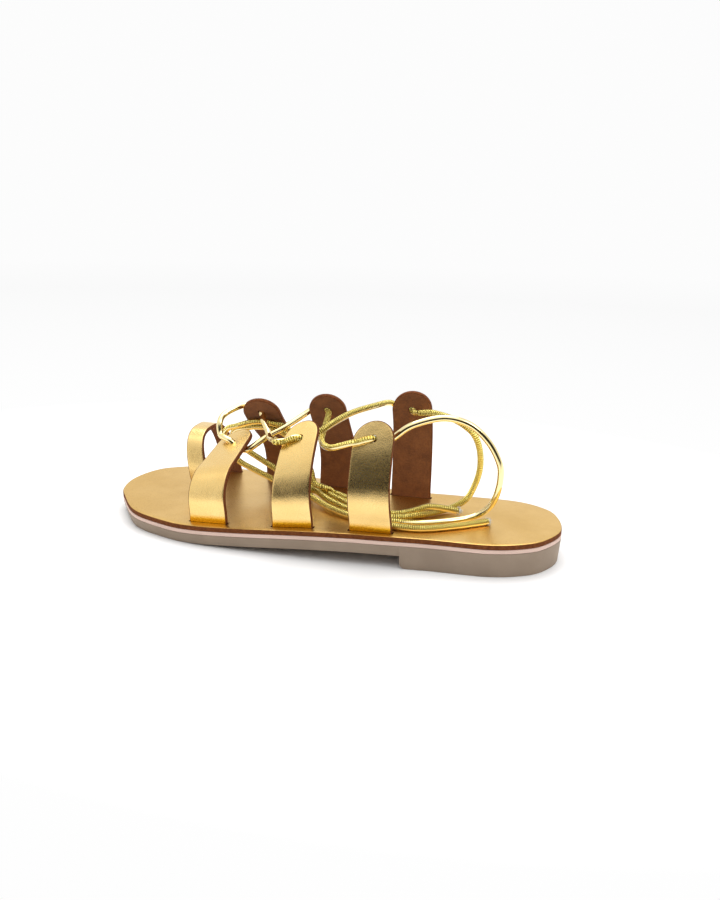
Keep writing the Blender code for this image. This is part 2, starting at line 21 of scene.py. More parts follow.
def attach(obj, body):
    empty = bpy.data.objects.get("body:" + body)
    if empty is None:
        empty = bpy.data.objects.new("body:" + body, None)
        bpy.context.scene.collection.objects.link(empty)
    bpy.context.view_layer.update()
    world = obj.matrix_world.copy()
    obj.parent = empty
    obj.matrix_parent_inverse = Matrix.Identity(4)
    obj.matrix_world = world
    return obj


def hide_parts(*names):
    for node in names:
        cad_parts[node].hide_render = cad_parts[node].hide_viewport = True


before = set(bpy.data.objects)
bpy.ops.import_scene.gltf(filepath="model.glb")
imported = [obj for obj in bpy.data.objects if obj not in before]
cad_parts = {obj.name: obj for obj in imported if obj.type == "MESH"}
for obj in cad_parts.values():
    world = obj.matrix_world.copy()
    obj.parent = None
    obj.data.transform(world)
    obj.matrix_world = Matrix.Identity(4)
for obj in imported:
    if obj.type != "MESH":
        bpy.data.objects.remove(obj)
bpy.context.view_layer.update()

LOG = logging.getLogger("sandal")
MM = 0.001
BODY = "root"
SAME_PLACE = 1e-7

# Steps in each stretch of the sole's outline, and the gap at its tips in millimetres
OUTLINE_STEPS = 24
TIP_GAP = 0.02

# Angles in degrees above which an edge stays sharp
SHARP_MOULDED = 38.0
SHARP_LEATHER = 50.0

# The material zones round a section of a layer or a strip
TOP, SIDE, BOTTOM = range(3)


class Slot(Enum):
    """The record's material slots."""

    OUTSOLE = "rubber_outsole"
    MIDSOLE = "midsole_layer"
    FOOTBED = "footbed_leather"
    STRAP = "strap_leather"
    LACE = "lace_cord"


class Side(Enum):
    """The two sides of a left foot, with the sign of Y that each lies on."""

    LATERAL = 1
    MEDIAL = -1


# Shared measures of the sole


def smooth_curve(points: Sequence, steps: int | Sequence[int], closed: bool = False) -> np.ndarray:
    """Run a Catmull-Rom curve through the given points.

    Args:
        points: the places that the curve passes through.
        steps: how many pieces each stretch is cut into, one number or one for each stretch.
        closed: whether the curve returns to its start.

    Returns:
        The curve's points, one row each.
    """
    given = [np.asarray(point, dtype=float) for point in points]
    if closed:
        padded = [given[-1]] + given + given[:2]
        stretches = len(given)
    else:
        padded = [2 * given[0] - given[1]] + given + [2 * given[-1] - given[-2]]
        stretches = len(given) - 1
    result = []
    for index in range(stretches):
        before, start, end, after = padded[index:index + 4]
        number = steps if isinstance(steps, int) else steps[index]
        for step in range(number):
            t = step / number
            result.append(0.5 * (2 * start + (end - before) * t
                                 + (2 * before - 5 * start + 4 * end - after) * t ** 2
                                 + (3 * start - before - 3 * end + after) * t ** 3))
    if not closed:
        result.append(given[-1])
    return np.array(result)


def waver(x: float, y: float, z: float, scale: float) -> float:
    """Return smooth noise between about -1 and 1 at a place, with lumps of the given size."""
    return noise.noise(Vector((x / scale, y / scale, z / scale)))


@dataclass(frozen=True)
class SoleSizes:
    """The sole's own sizes, in millimetres, and its stations as shares of the footbed's length.

    Each row is a station with how far the outer and the inner edge lie from the middle line there,
    as shares of the ball's half width.  The arch's ease is how much of its run is curved.
    """

    length: float = 250.0
    ball_half_width: float = 45.5
    heel_lift: float = 6.9
    toe_spring: float = 1.4
    outsole: float = 5.8
    midsole: float = 2.1
    footbed: float = 2.6
    draft: float = 1.3
    seam: float = 0.3
    heel_corner: float = 3.0
    breast: float = 0.292
    arch_start: float = 0.38
    ball_start: float = 0.78
    ball_end: float = 0.84
    arch_ease: float = 0.45
    toe_shift: float = -0.10
    rows: tuple = (
        (0.018, 0.315, 0.365),
        (0.052, 0.512, 0.590),
        (0.120, 0.675, 0.712),
        (0.240, 0.758, 0.662),
        (0.380, 0.888, 0.590),
        (0.520, 0.950, 0.735),
        (0.640, 0.988, 0.925),
        (0.740, 0.995, 0.990),
        (0.820, 0.925, 1.000),
        (0.900, 0.767, 0.907),
        (0.960, 0.440, 0.697),
        (0.988, 0.225, 0.460),
    )

    def underside(self, x: float) -> float:
        """Work out the slab's underside.

        Args:
            x: the distance from the heel.

        Returns:
            The height of the underside there.
        """
        share = x / self.length
        blend = min(max((share - self.arch_start) / (self.ball_start - self.arch_start), 0.0), 1.0)
        eased = self.arch_ease * blend * blend * (3 - 2 * blend) + (1 - self.arch_ease) * blend
        toe = max((share - self.ball_end) / (1 - self.ball_end), 0.0)
        return self.heel_lift * (1 - eased) + self.toe_spring * toe ** 2

    def floor_side(self, x: float) -> float:
        """Work out the outsole's bottom, with the heel block's rounded front corner.

        Args:
            x: the distance from the heel.

        Returns:
            The height of the bottom there.
        """
        breast = self.breast * self.length
        start = breast - self.heel_corner
        if x <= start:
            return 0.0
        if x > breast:
            return self.underside(x)
        reach = min(x - start, self.heel_corner)
        return self.heel_corner - math.sqrt(self.heel_corner ** 2 - reach ** 2)

    def outsole_top(self, x: float) -> float:
        """Return the height of the outsole's top."""
        return self.underside(x) + self.outsole

    def midsole_top(self, x: float) -> float:
        """Return the height of the midsole's top."""
        return self.outsole_top(x) + self.midsole

    def footbed_top(self, x: float) -> float:
        """Return the height of the footbed's top."""
        return self.midsole_top(x) + self.footbed


SOLE = SoleSizes()


class Outline:
    """The footbed's edge, or a line inside it, read as two widths along the length."""

    def __init__(self, inset: float) -> None:
        """Work the line out.

        Args:
            inset: how far inside the footbed's edge it runs, in millimetres.
        """
        lateral = [(row[0], row[1]) for row in SOLE.rows]
        medial = [(row[0], -row[2]) for row in reversed(SOLE.rows)]
        ring = [(0.0, 0.0)] + lateral + [(1.0, SOLE.toe_shift)] + medial
        curve = smooth_curve([(x * SOLE.length, y * SOLE.ball_half_width) for x, y in ring],
                             OUTLINE_STEPS, True)
        low, high = curve[:, 0].min(), curve[:, 0].max()
        curve[:, 0] = (curve[:, 0] - low) * SOLE.length / (high - low)
        wide = np.where(curve[:, 1] > 0, curve[:, 1].max(), -curve[:, 1].min())
        curve[:, 1] = curve[:, 1] * SOLE.ball_half_width / wide
        along = np.roll(curve, -1, axis=0) - np.roll(curve, 1, axis=0)
        inward = np.stack([along[:, 1], -along[:, 0]], axis=1)
        curve = curve + inward / np.linalg.norm(inward, axis=1)[:, None] * inset
        curve = np.roll(curve, -int(curve[:, 0].argmin()), axis=0)
        toe = int(curve[:, 0].argmax())
        self.start = float(curve[0, 0])
        self.end = float(curve[toe, 0])
        self.lateral = curve[:toe + 1]
        self.medial = np.vstack([curve[toe:], curve[:1]])[::-1]

    def widths(self, x: float) -> tuple[float, float]:
        """Read both edges.

        Args:
            x: the distance from the heel.

        Returns:
            The lateral and the medial edge there.
        """
        reach = min(max(x, self.start + TIP_GAP), self.end - TIP_GAP)
        return (float(np.interp(reach, self.lateral[:, 0], self.lateral[:, 1])),
                float(np.interp(reach, self.medial[:, 0], self.medial[:, 1])))

    def at_share(self, share: float) -> float:
        """Return the distance from the heel at a share of this line's own length."""
        return self.start + share * (self.end - self.start)

    def station(self, share: float) -> tuple[float, float, float]:
        """Read one station, with both edges met in one place at the tips.

        Args:
            share: the station as a share of this line's own length.

        Returns:
            The distance from the heel and both edges.
        """
        x = self.at_share(share)
        if share <= 0.0:
            return x, float(self.lateral[0, 1]), float(self.lateral[0, 1])
        if share >= 1.0:
            return x, float(self.lateral[-1, 1]), float(self.lateral[-1, 1])
        return x, *self.widths(x)


EDGE = Outline(0.0)


def from_heel(x: float, y: float, z: float) -> tuple[float, float, float]:
    """Turn a place measured from the heel, in millimetres, into the model's metres."""
    return (x - SOLE.length / 2) * MM, y * MM, z * MM


# Materials and their nodes


class ShaderHand:
    """A small hand for laying out one tree of shader nodes."""

    def __init__(self, tree: bpy.types.NodeTree) -> None:
        """Keep the tree.

        Args:
            tree: the tree that gets the nodes.
        """
        self.tree = tree

    def node(self, kind: str, **settings: object) -> bpy.types.Node:
        """Add a node and set its own settings.

        Args:
            kind: the node's type.
            settings: its settings by name.

        Returns:
            The node.
        """
        made = self.tree.nodes.new(kind)
        for key, value in settings.items():
            setattr(made, key, value)
        return made

    def link(self, source: bpy.types.NodeSocket, target: bpy.types.NodeSocket) -> None:
        """Join two sockets."""
        self.tree.links.new(source, target)

    def spread(self, value: bpy.types.NodeSocket, low: float, high: float,
               to_low: float, to_high: float, kind: str = "LINEAR") -> bpy.types.NodeSocket:
        """Map a value's range onto another, held at both ends.

        Args:
            value: the socket that is mapped.
            low: where its range starts.
            high: where its range ends.
            to_low: what the start becomes.
            to_high: what the end becomes.
            kind: how the values between them run.

        Returns:
            The mapped value.
        """
        made = self.node("ShaderNodeMapRange", interpolation_type=kind)
        self.link(value, made.inputs["Value"])
        for key, number in (("From Min", low), ("From Max", high), ("To Min", to_low), ("To Max", to_high)):
            made.inputs[key].default_value = number
        return made.outputs["Result"]

    def maths(self, operation: str, *values: object) -> bpy.types.NodeSocket:
        """Join values by one operation.

        Args:
            operation: its name in the node.
            values: what it works on, each a socket or a number.

        Returns:
            The result.
        """
        made = self.node("ShaderNodeMath", operation=operation)
        for socket, value in zip(made.inputs, values):
            if isinstance(value, (int, float)):
                socket.default_value = value
            else:
                self.link(value, socket)
        return made.outputs["Value"]

    def blend(self, share: bpy.types.NodeSocket, first: object, second: object) -> bpy.types.NodeSocket:
        """Mix two colours.

        Args:
            share: how much of the second colour there is.
            first: one colour, a socket or three numbers.
            second: the other colour, a socket or three numbers.

        Returns:
            The mixed colour.
        """
        made = self.node("ShaderNodeMix", data_type="RGBA")
        self.link(share, made.inputs["Factor"])
        for socket, value in ((made.inputs[6], first), (made.inputs[7], second)):
            if isinstance(value, tuple):
                socket.default_value = (*value, 1.0)
            else:
                self.link(value, socket)
        return made.outputs[2]

    def choose(self, share: bpy.types.NodeSocket, first: bpy.types.NodeSocket,
               second: bpy.types.NodeSocket) -> bpy.types.NodeSocket:
        """Mix two shaders.

        Args:
            share: how much of the second shader there is.
            first: one shader.
            second: the other shader.

        Returns:
            The mixed shader.
        """
        made = self.node("ShaderNodeMixShader")
        for socket, value in zip(made.inputs, (share, first, second)):
            self.link(value, socket)
        return made.outputs["Shader"]


class Shading(ShaderHand):
    """A hand for one procedural material, laid out on the object's own place."""

    def __init__(self, name: str) -> None:
        """Start a material with its Principled shader.

        Args:
            name: the material's name.
        """
        self.material = bpy.data.materials.new(name)
        self.material.use_nodes = True
        super().__init__(self.material.node_tree)
        self.shader = self.tree.nodes["Principled BSDF"]
        self.place = self.tree.nodes.new("ShaderNodeTexCoord").outputs["Object"]

    def stretched(self, scale: Sequence[float]) -> bpy.types.NodeSocket:
        """Scale the object's own place apart along its axes.

        Args:
            scale: the factor along each axis.

        Returns:
            The scaled place.
        """
        mapping = self.node("ShaderNodeMapping")
        mapping.inputs["Scale"].default_value = tuple(scale)
        self.link(self.place, mapping.inputs["Vector"])
        return mapping.outputs["Vector"]

    def attribute(self, name: str, output: str) -> bpy.types.NodeSocket:
        """Return a named attribute of the mesh."""
        return self.node("ShaderNodeAttribute", attribute_name=name).outputs[output]

    def grain(self, size: float, detail: float = 4.0, rough: float = 0.55,
              place: bpy.types.NodeSocket | None = None) -> bpy.types.NodeSocket:
        """Return cloudy noise.

        Args:
            size: the lumps' size in millimetres.
            detail: how many finer layers it has.
            rough: how strong the finer layers are.
            place: what it is laid on, or None for the object's own place.

        Returns:
            The noise's value, about 0.5 on average.
        """
        made = self.node("ShaderNodeTexNoise")
        made.inputs["Scale"].default_value = 1000.0 / size
        made.inputs["Detail"].default_value = detail
        made.inputs["Roughness"].default_value = rough
        self.link(place or self.place, made.inputs["Vector"])
        return made.outputs["Fac"]

    def cells(self, size: float, place: bpy.types.NodeSocket | None = None) -> bpy.types.NodeSocket:
        """Return cells that fill the object.

        Args:
            size: the cells' size in millimetres.
            place: what they are laid on, or None for the object's own place.

        Returns:
            The distance to the nearest cell's centre.
        """
        made = self.node("ShaderNodeTexVoronoi", feature="F1")
        made.inputs["Scale"].default_value = 1000.0 / size
        self.link(place or self.place, made.inputs["Vector"])
        return made.outputs["Distance"]

    def relief(self, layers: Sequence[tuple[bpy.types.NodeSocket, float]]) -> None:
        """Stack bumps on the shader's normal.

        Args:
            layers: each height's socket with its depth in millimetres.
        """
        normal = None
        for height, depth in layers:
            made = self.node("ShaderNodeBump")
            made.inputs["Distance"].default_value = depth * MM
            self.link(height, made.inputs["Height"])
            if normal is not None:
                self.link(normal, made.inputs["Normal"])
            normal = made.outputs["Normal"]
        self.link(normal, self.shader.inputs["Normal"])

    def set(self, **numbers: float) -> None:
        """Set the shader's own numbers, with spaces in their names written as underscores."""
        for key, value in numbers.items():
            self.shader.inputs[key.replace("_", " ")].default_value = value


@dataclass(frozen=True)
class GoldLeather:
    """Foiled leather: a thin metal film over a fine grain; a strap's foot can take a painted reflection of
    the footbed.
    """

    name: str
    light: tuple = (0.93, 0.665, 0.265)
    deep: tuple = (0.88, 0.60, 0.215)
    roughness: float = 0.24
    pebble: float = 0.42
    depth: float = 0.026
    coat: float = 0.25
    # The colour that a strap takes at its foot: a painted reflection of the gold footbed
    foot_reflection: tuple | None = None

    def make(self) -> bpy.types.Material:
        """Lay out the finish's nodes.

        Returns:
            The material.
        """
        hand = Shading(self.name)
        cloud = hand.grain(22.0, 3.0)
        colour = hand.blend(hand.spread(cloud, 0.35, 0.65, 0.0, 1.0), self.deep, self.light)
        # Painted reflection: just above the footbed the gold turns to the deeper colour of the footbed's
        # reflection
        if self.foot_reflection is not None:
            rise = hand.attribute("rise", "Fac")
            colour = hand.blend(hand.spread(rise, 0.0022, 0.0046, 1.0, 0.0), colour, self.foot_reflection)
        hand.link(colour, hand.shader.inputs["Base Color"])
        fine = hand.grain(self.pebble, 5.0, 0.6)
        cells = hand.cells(self.pebble * 1.6)
        hand.link(hand.spread(fine, 0.3, 0.7, self.roughness - 0.06, self.roughness + 0.09),
                  hand.shader.inputs["Roughness"])
        soft = hand.grain(7.0, 2.0)
        hand.relief(((soft, 0.10), (cells, self.depth), (fine, self.depth * 0.8)))
        hand.set(Metallic=1.0, Coat_Weight=self.coat, Coat_Roughness=0.3)
        return hand.material


@dataclass(frozen=True)
class FleshSide:
    """The unfinished inner side of leather: short brown fibres."""

    name: str
    light: tuple = (0.28, 0.100, 0.027)
    dark: tuple = (0.140, 0.044, 0.011)
    fibre: float = 0.8
    depth: float = 0.10

    def make(self) -> bpy.types.Material:
        """Lay out the finish's nodes.

        Returns:
            The material.
        """
        hand = Shading(self.name)
        fibres = hand.grain(self.fibre, 8.0, 0.72)
        patches = hand.grain(6.0, 4.0, 0.6)
        share = hand.maths("ADD", hand.maths("MULTIPLY", fibres, 0.6), hand.maths("MULTIPLY", patches, 0.4))
        colour = hand.blend(hand.spread(share, 0.36, 0.64, 0.0, 1.0), self.dark, self.light)
        hand.link(colour, hand.shader.inputs["Base Color"])
        hand.relief(((fibres, self.depth), (patches, self.depth)))
        hand.set(Roughness=0.92, Specular_IOR_Level=0.25, Sheen_Weight=0.15, Sheen_Roughness=0.6)
        return hand.material


@dataclass(frozen=True)
class CutEdge:
    """A raw cut edge of leather: packed layers, darker than the flesh side."""

    name: str
    light: tuple = (0.205, 0.064, 0.018)
    dark: tuple = (0.090, 0.025, 0.006)
    layer: float = 0.5

    def make(self) -> bpy.types.Material:
        """Lay out the finish's nodes.

        Returns:
            The material.
        """
        hand = Shading(self.name)
        layers = hand.grain(self.layer, 6.0, 0.7, hand.stretched((0.35, 0.35, 1.0)))
        pits = hand.grain(1.6, 5.0, 0.65)
        share = hand.maths("ADD", hand.maths("MULTIPLY", layers, 0.5), hand.maths("MULTIPLY", pits, 0.5))
        colour = hand.blend(hand.spread(share, 0.38, 0.62, 0.0, 1.0), self.dark, self.light)
        hand.link(colour, hand.shader.inputs["Base Color"])
        hand.relief(((layers, 0.10), (pits, 0.16)))
        hand.set(Roughness=0.85, Specular_IOR_Level=0.15)
        return hand.material


@dataclass(frozen=True)
class MouldedRubber:
    """Plain moulded rubber with a faint mould texture and light scuffs."""

    name: str
    light: tuple
    dark: tuple
    roughness: float = 0.6
    speck: float = 0.5
    depth: float = 0.03

    def make(self) -> bpy.types.Material:
        """Lay out the finish's nodes.

        Returns:
            The material.
        """
        hand = Shading(self.name)
        cloud = hand.grain(14.0, 4.0)
        specks = hand.grain(self.speck, 5.0, 0.6)
        share = hand.maths("ADD", hand.maths("MULTIPLY", cloud, 0.7), hand.maths("MULTIPLY", specks, 0.3))
        colour = hand.blend(hand.spread(share, 0.36, 0.64, 0.0, 1.0), self.dark, self.light)
        hand.link(colour, hand.shader.inputs["Base Color"])
        hand.link(hand.spread(specks, 0.3, 0.7, self.roughness - 0.08, self.roughness + 0.1),
                  hand.shader.inputs["Roughness"])
        hand.relief(((cloud, 0.08), (specks, self.depth)))
        hand.set(Specular_IOR_Level=0.4)
        return hand.material


@dataclass(frozen=True)
class RolledFoil:
    """The lace's gold foil: a glossy back and a finely ribbed, speckled seam side, whose dark specks fall
    partly in step with the ribs as painted shade.
    """

    name: str
    light: tuple = (0.95, 0.80, 0.42)
    seam: tuple = (1.0, 0.84, 0.25)
    # The dark specks' colour on the seam side, partly painted shade of the ribs
    deep: tuple = (0.30, 0.20, 0.012)
    rib: float = 1.05

    def make(self) -> bpy.types.Material:
        """Lay out the finish's nodes.

        Returns:
            The material.
        """
        hand = Shading(self.name)
        around = hand.attribute("around", "Vector")
        along = hand.attribute("along", "Fac")
        parts = hand.node("ShaderNodeSeparateXYZ")
        hand.link(around, parts.inputs["Vector"])
        seam = hand.spread(parts.outputs["X"], -0.08, 0.10, 0.0, 1.0)
        join = hand.node("ShaderNodeCombineXYZ")
        hand.link(parts.outputs["X"], join.inputs["X"])
        hand.link(parts.outputs["Y"], join.inputs["Y"])
        hand.link(hand.maths("MULTIPLY", along, 1.0 / (self.rib * MM)), join.inputs["Z"])
        specks = hand.node("ShaderNodeTexNoise")
        specks.inputs["Scale"].default_value = 2.2
        specks.inputs["Detail"].default_value = 3.0
        hand.link(join.outputs["Vector"], specks.inputs["Vector"])
        wave = hand.maths("SINE", hand.maths("MULTIPLY", along, 2 * math.pi / (self.rib * MM)))
        ribs = hand.maths("MULTIPLY", hand.maths("ADD", wave, specks.outputs["Fac"]), seam)
        # The seam side's dark specks: noise specks plus a share in step with the ribs, that share a painted
        # rib shade
        speck_and_rib_shade = hand.maths("ADD", specks.outputs["Fac"], hand.maths("MULTIPLY", wave, 0.30))
        speck_and_rib_shade_share = hand.maths("MULTIPLY", hand.spread(speck_and_rib_shade, 0.55, 0.77, 0.0, 1.0), seam)
        foil = hand.blend(seam, self.light, self.seam)
        hand.link(hand.blend(speck_and_rib_shade_share, foil, self.deep), hand.shader.inputs["Base Color"])
        hand.link(hand.spread(seam, 0.0, 1.0, 0.11, 0.26), hand.shader.inputs["Roughness"])
        hand.relief(((ribs, 0.24), (hand.grain(2.5, 2.0), 0.03)))
        hand.set(Metallic=1.0)
        return hand.material


@dataclass(frozen=True)
class CottonCore:
    """The pale fibre core that shows at the lace's cut ends."""

    name: str
    colour: tuple = (0.86, 0.84, 0.78)

    def make(self) -> bpy.types.Material:
        """Lay out the finish's nodes.

        Returns:
            The material.
        """
        hand = Shading(self.name)
        fibres = hand.grain(0.25, 4.0)
        dark = tuple(share * 0.72 for share in self.colour)
        hand.link(hand.blend(hand.spread(fibres, 0.35, 0.65, 0.0, 1.0), dark, self.colour),
                  hand.shader.inputs["Base Color"])
        hand.relief(((fibres, 0.05),))
        hand.set(Roughness=0.95, Specular_IOR_Level=0.2)
        return hand.material


@dataclass(frozen=True)
class Finishes:
    """Every finish of the sandal, made once and shared."""

    strap_gold: bpy.types.Material
    footbed_gold: bpy.types.Material
    flesh: bpy.types.Material
    cut_edge: bpy.types.Material
    rubber: bpy.types.Material
    pink: bpy.types.Material
    foil: bpy.types.Material
    core: bpy.types.Material

    @classmethod
    def make(cls) -> Finishes:
        """Make every finish.

        Returns:
            All of them.
        """
        return cls(
            # The strap gold's foot colour is a painted reflection of the gold footbed
            strap_gold=GoldLeather("strap gold", foot_reflection=(0.90, 0.46, 0.006)).make(),
            footbed_gold=GoldLeather("footbed gold", light=(0.74, 0.48, 0.155), deep=(0.66, 0.41, 0.110),
                                     roughness=0.30, pebble=0.5, depth=0.018, coat=0.06).make(),
            flesh=FleshSide("strap flesh side").make(),
            cut_edge=CutEdge("cut leather edge").make(),
            rubber=MouldedRubber("taupe rubber", (0.315, 0.238, 0.172), (0.268, 0.200, 0.143)).make(),
            pink=MouldedRubber("pink midsole", (0.74, 0.54, 0.455), (0.66, 0.475, 0.395),
                               roughness=0.7).make(),
            foil=RolledFoil("lace foil").make(),
            core=CottonCore("lace core").make(),
        )


# Making and handing over objects


def new_object(name: str, vertices: Sequence, faces: Sequence, materials: Sequence[bpy.types.Material],
               zones: Sequence[int] | None = None,
               smooth: float | None = SHARP_MOULDED) -> bpy.types.Object:
    """Make an object from vertices in metres.

    Args:
        name: the object's name.
        vertices: places in metres.
        faces: rings of vertex numbers.
        materials: the materials of its slots.
        zones: each face's slot, or None where all faces have the first.
        smooth: the angle in degrees above which an edge stays sharp, or None for no sharp edge.

    Returns:
        The linked object, its faces turned outwards.
    """
    mesh = bpy.data.meshes.new(name)
    mesh.from_pydata([tuple(vertex) for vertex in vertices], [], [tuple(face) for face in faces])
    for material in materials:
        mesh.materials.append(material)
    if zones is not None:
        mesh.polygons.foreach_set("material_index", list(zones))
    work = bmesh.new()
    work.from_mesh(mesh)
    bmesh.ops.remove_doubles(work, verts=work.verts, dist=SAME_PLACE)
    bmesh.ops.recalc_face_normals(work, faces=work.faces)
    work.to_mesh(mesh)
    work.free()
    mesh.shade_smooth()
    if smooth is not None:
        mesh.set_sharp_from_angle(angle=math.radians(smooth))
    made = bpy.data.objects.new(name, mesh)
    bpy.context.scene.collection.objects.link(made)
    return made


def settle(piece: bpy.types.Object) -> None:
    """Apply a piece's modifiers to its own mesh.

    Args:
        piece: the object whose modifiers are applied.
    """
    graph = bpy.context.evaluated_depsgraph_get()
    mesh = bpy.data.meshes.new_from_object(piece.evaluated_get(graph), depsgraph=graph)
    piece.modifiers.clear()
    old = piece.data
    piece.data = mesh
    mesh.name = piece.name
    if isinstance(old, bpy.types.Mesh) and old.users == 0:
        bpy.data.meshes.remove(old)


def carve(piece: bpy.types.Object, cutters: Sequence[bpy.types.Object],
          smooth: float = SHARP_MOULDED) -> None:
    """Cut guide solids out of a piece, apply the cuts and delete the guides.

    Args:
        piece: what is cut.
        cutters: the guide solids, whose material goes to the walls that they leave.
        smooth: the angle in degrees above which an edge is sharp afterwards.
    """
    for cutter in cutters:
        step = piece.modifiers.new("cut " + cutter.name, "BOOLEAN")
        step.operation = "DIFFERENCE"
        step.solver = "EXACT"
        step.material_mode = "TRANSFER"
        step.object = cutter
    settle(piece)
    for cutter in cutters:
        bpy.data.objects.remove(cutter)
    piece.data.set_sharp_from_angle(angle=math.radians(smooth))


def hand_over(piece: bpy.types.Object, slot: Slot, *nodes: str) -> None:
    """Hide the CAD nodes that a piece stands for, hang the piece on the body that it rides on and log its
    faces.

    Args:
        piece: the piece.
        slot: the material slot meant for it; not used.
        nodes: the CAD nodes that it stands for, or none for an extra part.
    """
    if nodes:
        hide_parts(*nodes)
    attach(piece, BODY)
    LOG.info("%s: %d faces", piece.name, len(piece.data.polygons))


def skin(rings: int, size: int) -> list[tuple[int, ...]]:
    """Cover the rings of places that follow each other.

    Args:
        rings: how many rings there are.
        size: how many places each ring has.

    Returns:
        The four-sided faces, one for each place of each ring but the last.
    """
    faces = []
    for low in range(0, (rings - 1) * size, size):
        for corner in range(size):
            after = (corner + 1) % size
            faces.append((low + corner, low + after, low + size + after, low + size + corner))
    return faces


def prism(sides: int) -> list[tuple[int, ...]]:
    """Return a prism's faces between two rings of places: both ends, then the walls."""
    return [tuple(range(sides)), tuple(range(sides, 2 * sides))] + skin(2, sides)


# The sole


@dataclass(frozen=True)
class EdgeLine:
    """One line round a layer of the sole: how far inside the edge, and how high."""

    inset: float
    height: Callable[[float], float]


def rounded(height: Callable[[float], float], corner: Sequence[tuple[float, float]]) -> list[EdgeLine]:
    """Return the lines that round a corner of a layer.

    Args:
        height: the height that the corner is measured from.
        corner: for each line, how far inside the edge it runs and how far below the height.

    Returns:
        The lines, in the corner's order.
    """
    return [EdgeLine(inset, lambda x, drop=drop: height(x) - drop) for inset, drop in corner]


@dataclass
class SoleLayer:
    """One layer of the sole, lofted along its length from lines round its edge.

    Its zones are the numbers of the lines at which the side's material starts and the bottom's.
    """

    name: str
    lines: list[EdgeLine]
    zones: tuple[int, int]
    materials: list[bpy.types.Material]
    columns: int = 24
    stations: int = 150
    extra: Sequence[float] = ()

    def shares(self) -> list[float]:
        """Return the stations as shares of each line's length, closer at the round ends."""
        plain = [(1 - math.cos(math.pi * step / self.stations)) / 2 for step in range(self.stations + 1)]
        return sorted(set(plain) | set(self.extra) | {SOLE.ball_start, SOLE.ball_end, SOLE.arch_start})

    def ring(self, share: float, outlines: Sequence[Outline]) -> list[tuple[float, float, float]]:
        """Work one station out.

        Args:
            share: the station as a share of each line's length.
            outlines: the outline of each line.

        Returns:
            Its places, round from the top's inner side.
        """
        sides = []
        for line, outline in zip(self.lines, outlines):
            x, lateral, medial = outline.station(share)
            sides.append((x, lateral, medial, line.height(x)))
        x, lateral, medial, height = sides[0]
        places = [(x, medial + (lateral - medial) * step / self.columns, height)
                  for step in range(self.columns + 1)]
        places += [(side[0], side[1], side[3]) for side in sides[1:]]
        x, lateral, medial, height = sides[-1]
        places += [(x, lateral + (medial - lateral) * step / self.columns, height)
                   for step in range(1, self.columns + 1)]
        places += [(side[0], side[2], side[3]) for side in reversed(sides[1:-1])]
        return [from_heel(*place) for place in places]

    def build(self) -> bpy.types.Object:
        """Loft the layer.

        Returns:
            The layer's object.
        """
        outlines = [Outline(line.inset) for line in self.lines]
        rings = [self.ring(share, outlines) for share in self.shares()]
        top_edge, side_edge = self.zones
        bottom = len(self.lines) - 1 - side_edge
        side = [TOP] * top_edge + [SIDE] * (side_edge - top_edge) + [BOTTOM] * bottom
        around = [TOP] * self.columns + side + [BOTTOM] * self.columns + side[::-1]
        zones = [min(zone, len(self.materials) - 1) for zone in around] * (len(rings) - 1)
        vertices = [place for ring in rings for place in ring]
        return new_object(self.name, vertices, skin(len(rings), len(rings[0])), self.materials, zones)


@dataclass
class SlitCutter:
    """A guide box that opens one slit in the footbed."""

    name: str
    x: float
    y: float
    yaw: float
    length: float
    width: float

    def build(self, material: bpy.types.Material) -> bpy.types.Object:
        """Make the guide box.

        Args:
            material: what the slit's walls get.

        Returns:
            The guide box.
        """
        along = np.array([math.cos(self.yaw), math.sin(self.yaw)])
        across = np.array([-along[1], along[0]])
        base = SOLE.footbed_top(self.x)
        corners = []
        for up in (-2 * SOLE.footbed, 2 * SOLE.footbed):
            for a, b in ((-1, -1), (1, -1), (1, 1), (-1, 1)):
                place = (np.array([self.x, self.y]) + along * a * self.length / 2
                         + across * b * self.width / 2)
                corners.append(from_heel(place[0], place[1], base + up))
        return new_object(self.name, corners, prism(4), [material])


@dataclass(frozen=True)
class RimSizes:
    """How the corners of the layers are rounded.

    Each rim and foot gives, for its lines, how far inside the edge they run and how far below the
    height that it starts from, in millimetres.  The breast's corner is given by angles in degrees.
    """

    outsole_rim: tuple = ((0.35, 0.0), (0.08, 0.08), (0.0, 0.35))
    outsole_foot: tuple = ((SOLE.draft + 0.12, -0.1), (SOLE.draft + 0.45, 0.0))
    draft_shares: tuple = (0.25, 0.5, 0.75, 0.93)
    midsole_rim: tuple = ((0.25, 0.0), (0.0, 0.22))
    midsole_foot: tuple = ((0.0, -0.26), (0.2, -0.06))
    footbed_rim: tuple = ((0.55, 0.0), (0.22, 0.10), (0.03, 0.34), (0.0, 0.8))
    footbed_foot: tuple = ((0.0, -0.3), (0.18, -0.06))
    breast_angles: tuple = (0, 12, 24, 36, 48, 60, 72, 82, 90)
    past_breast: tuple = (TIP_GAP, 0.4)


RIMS = RimSizes()


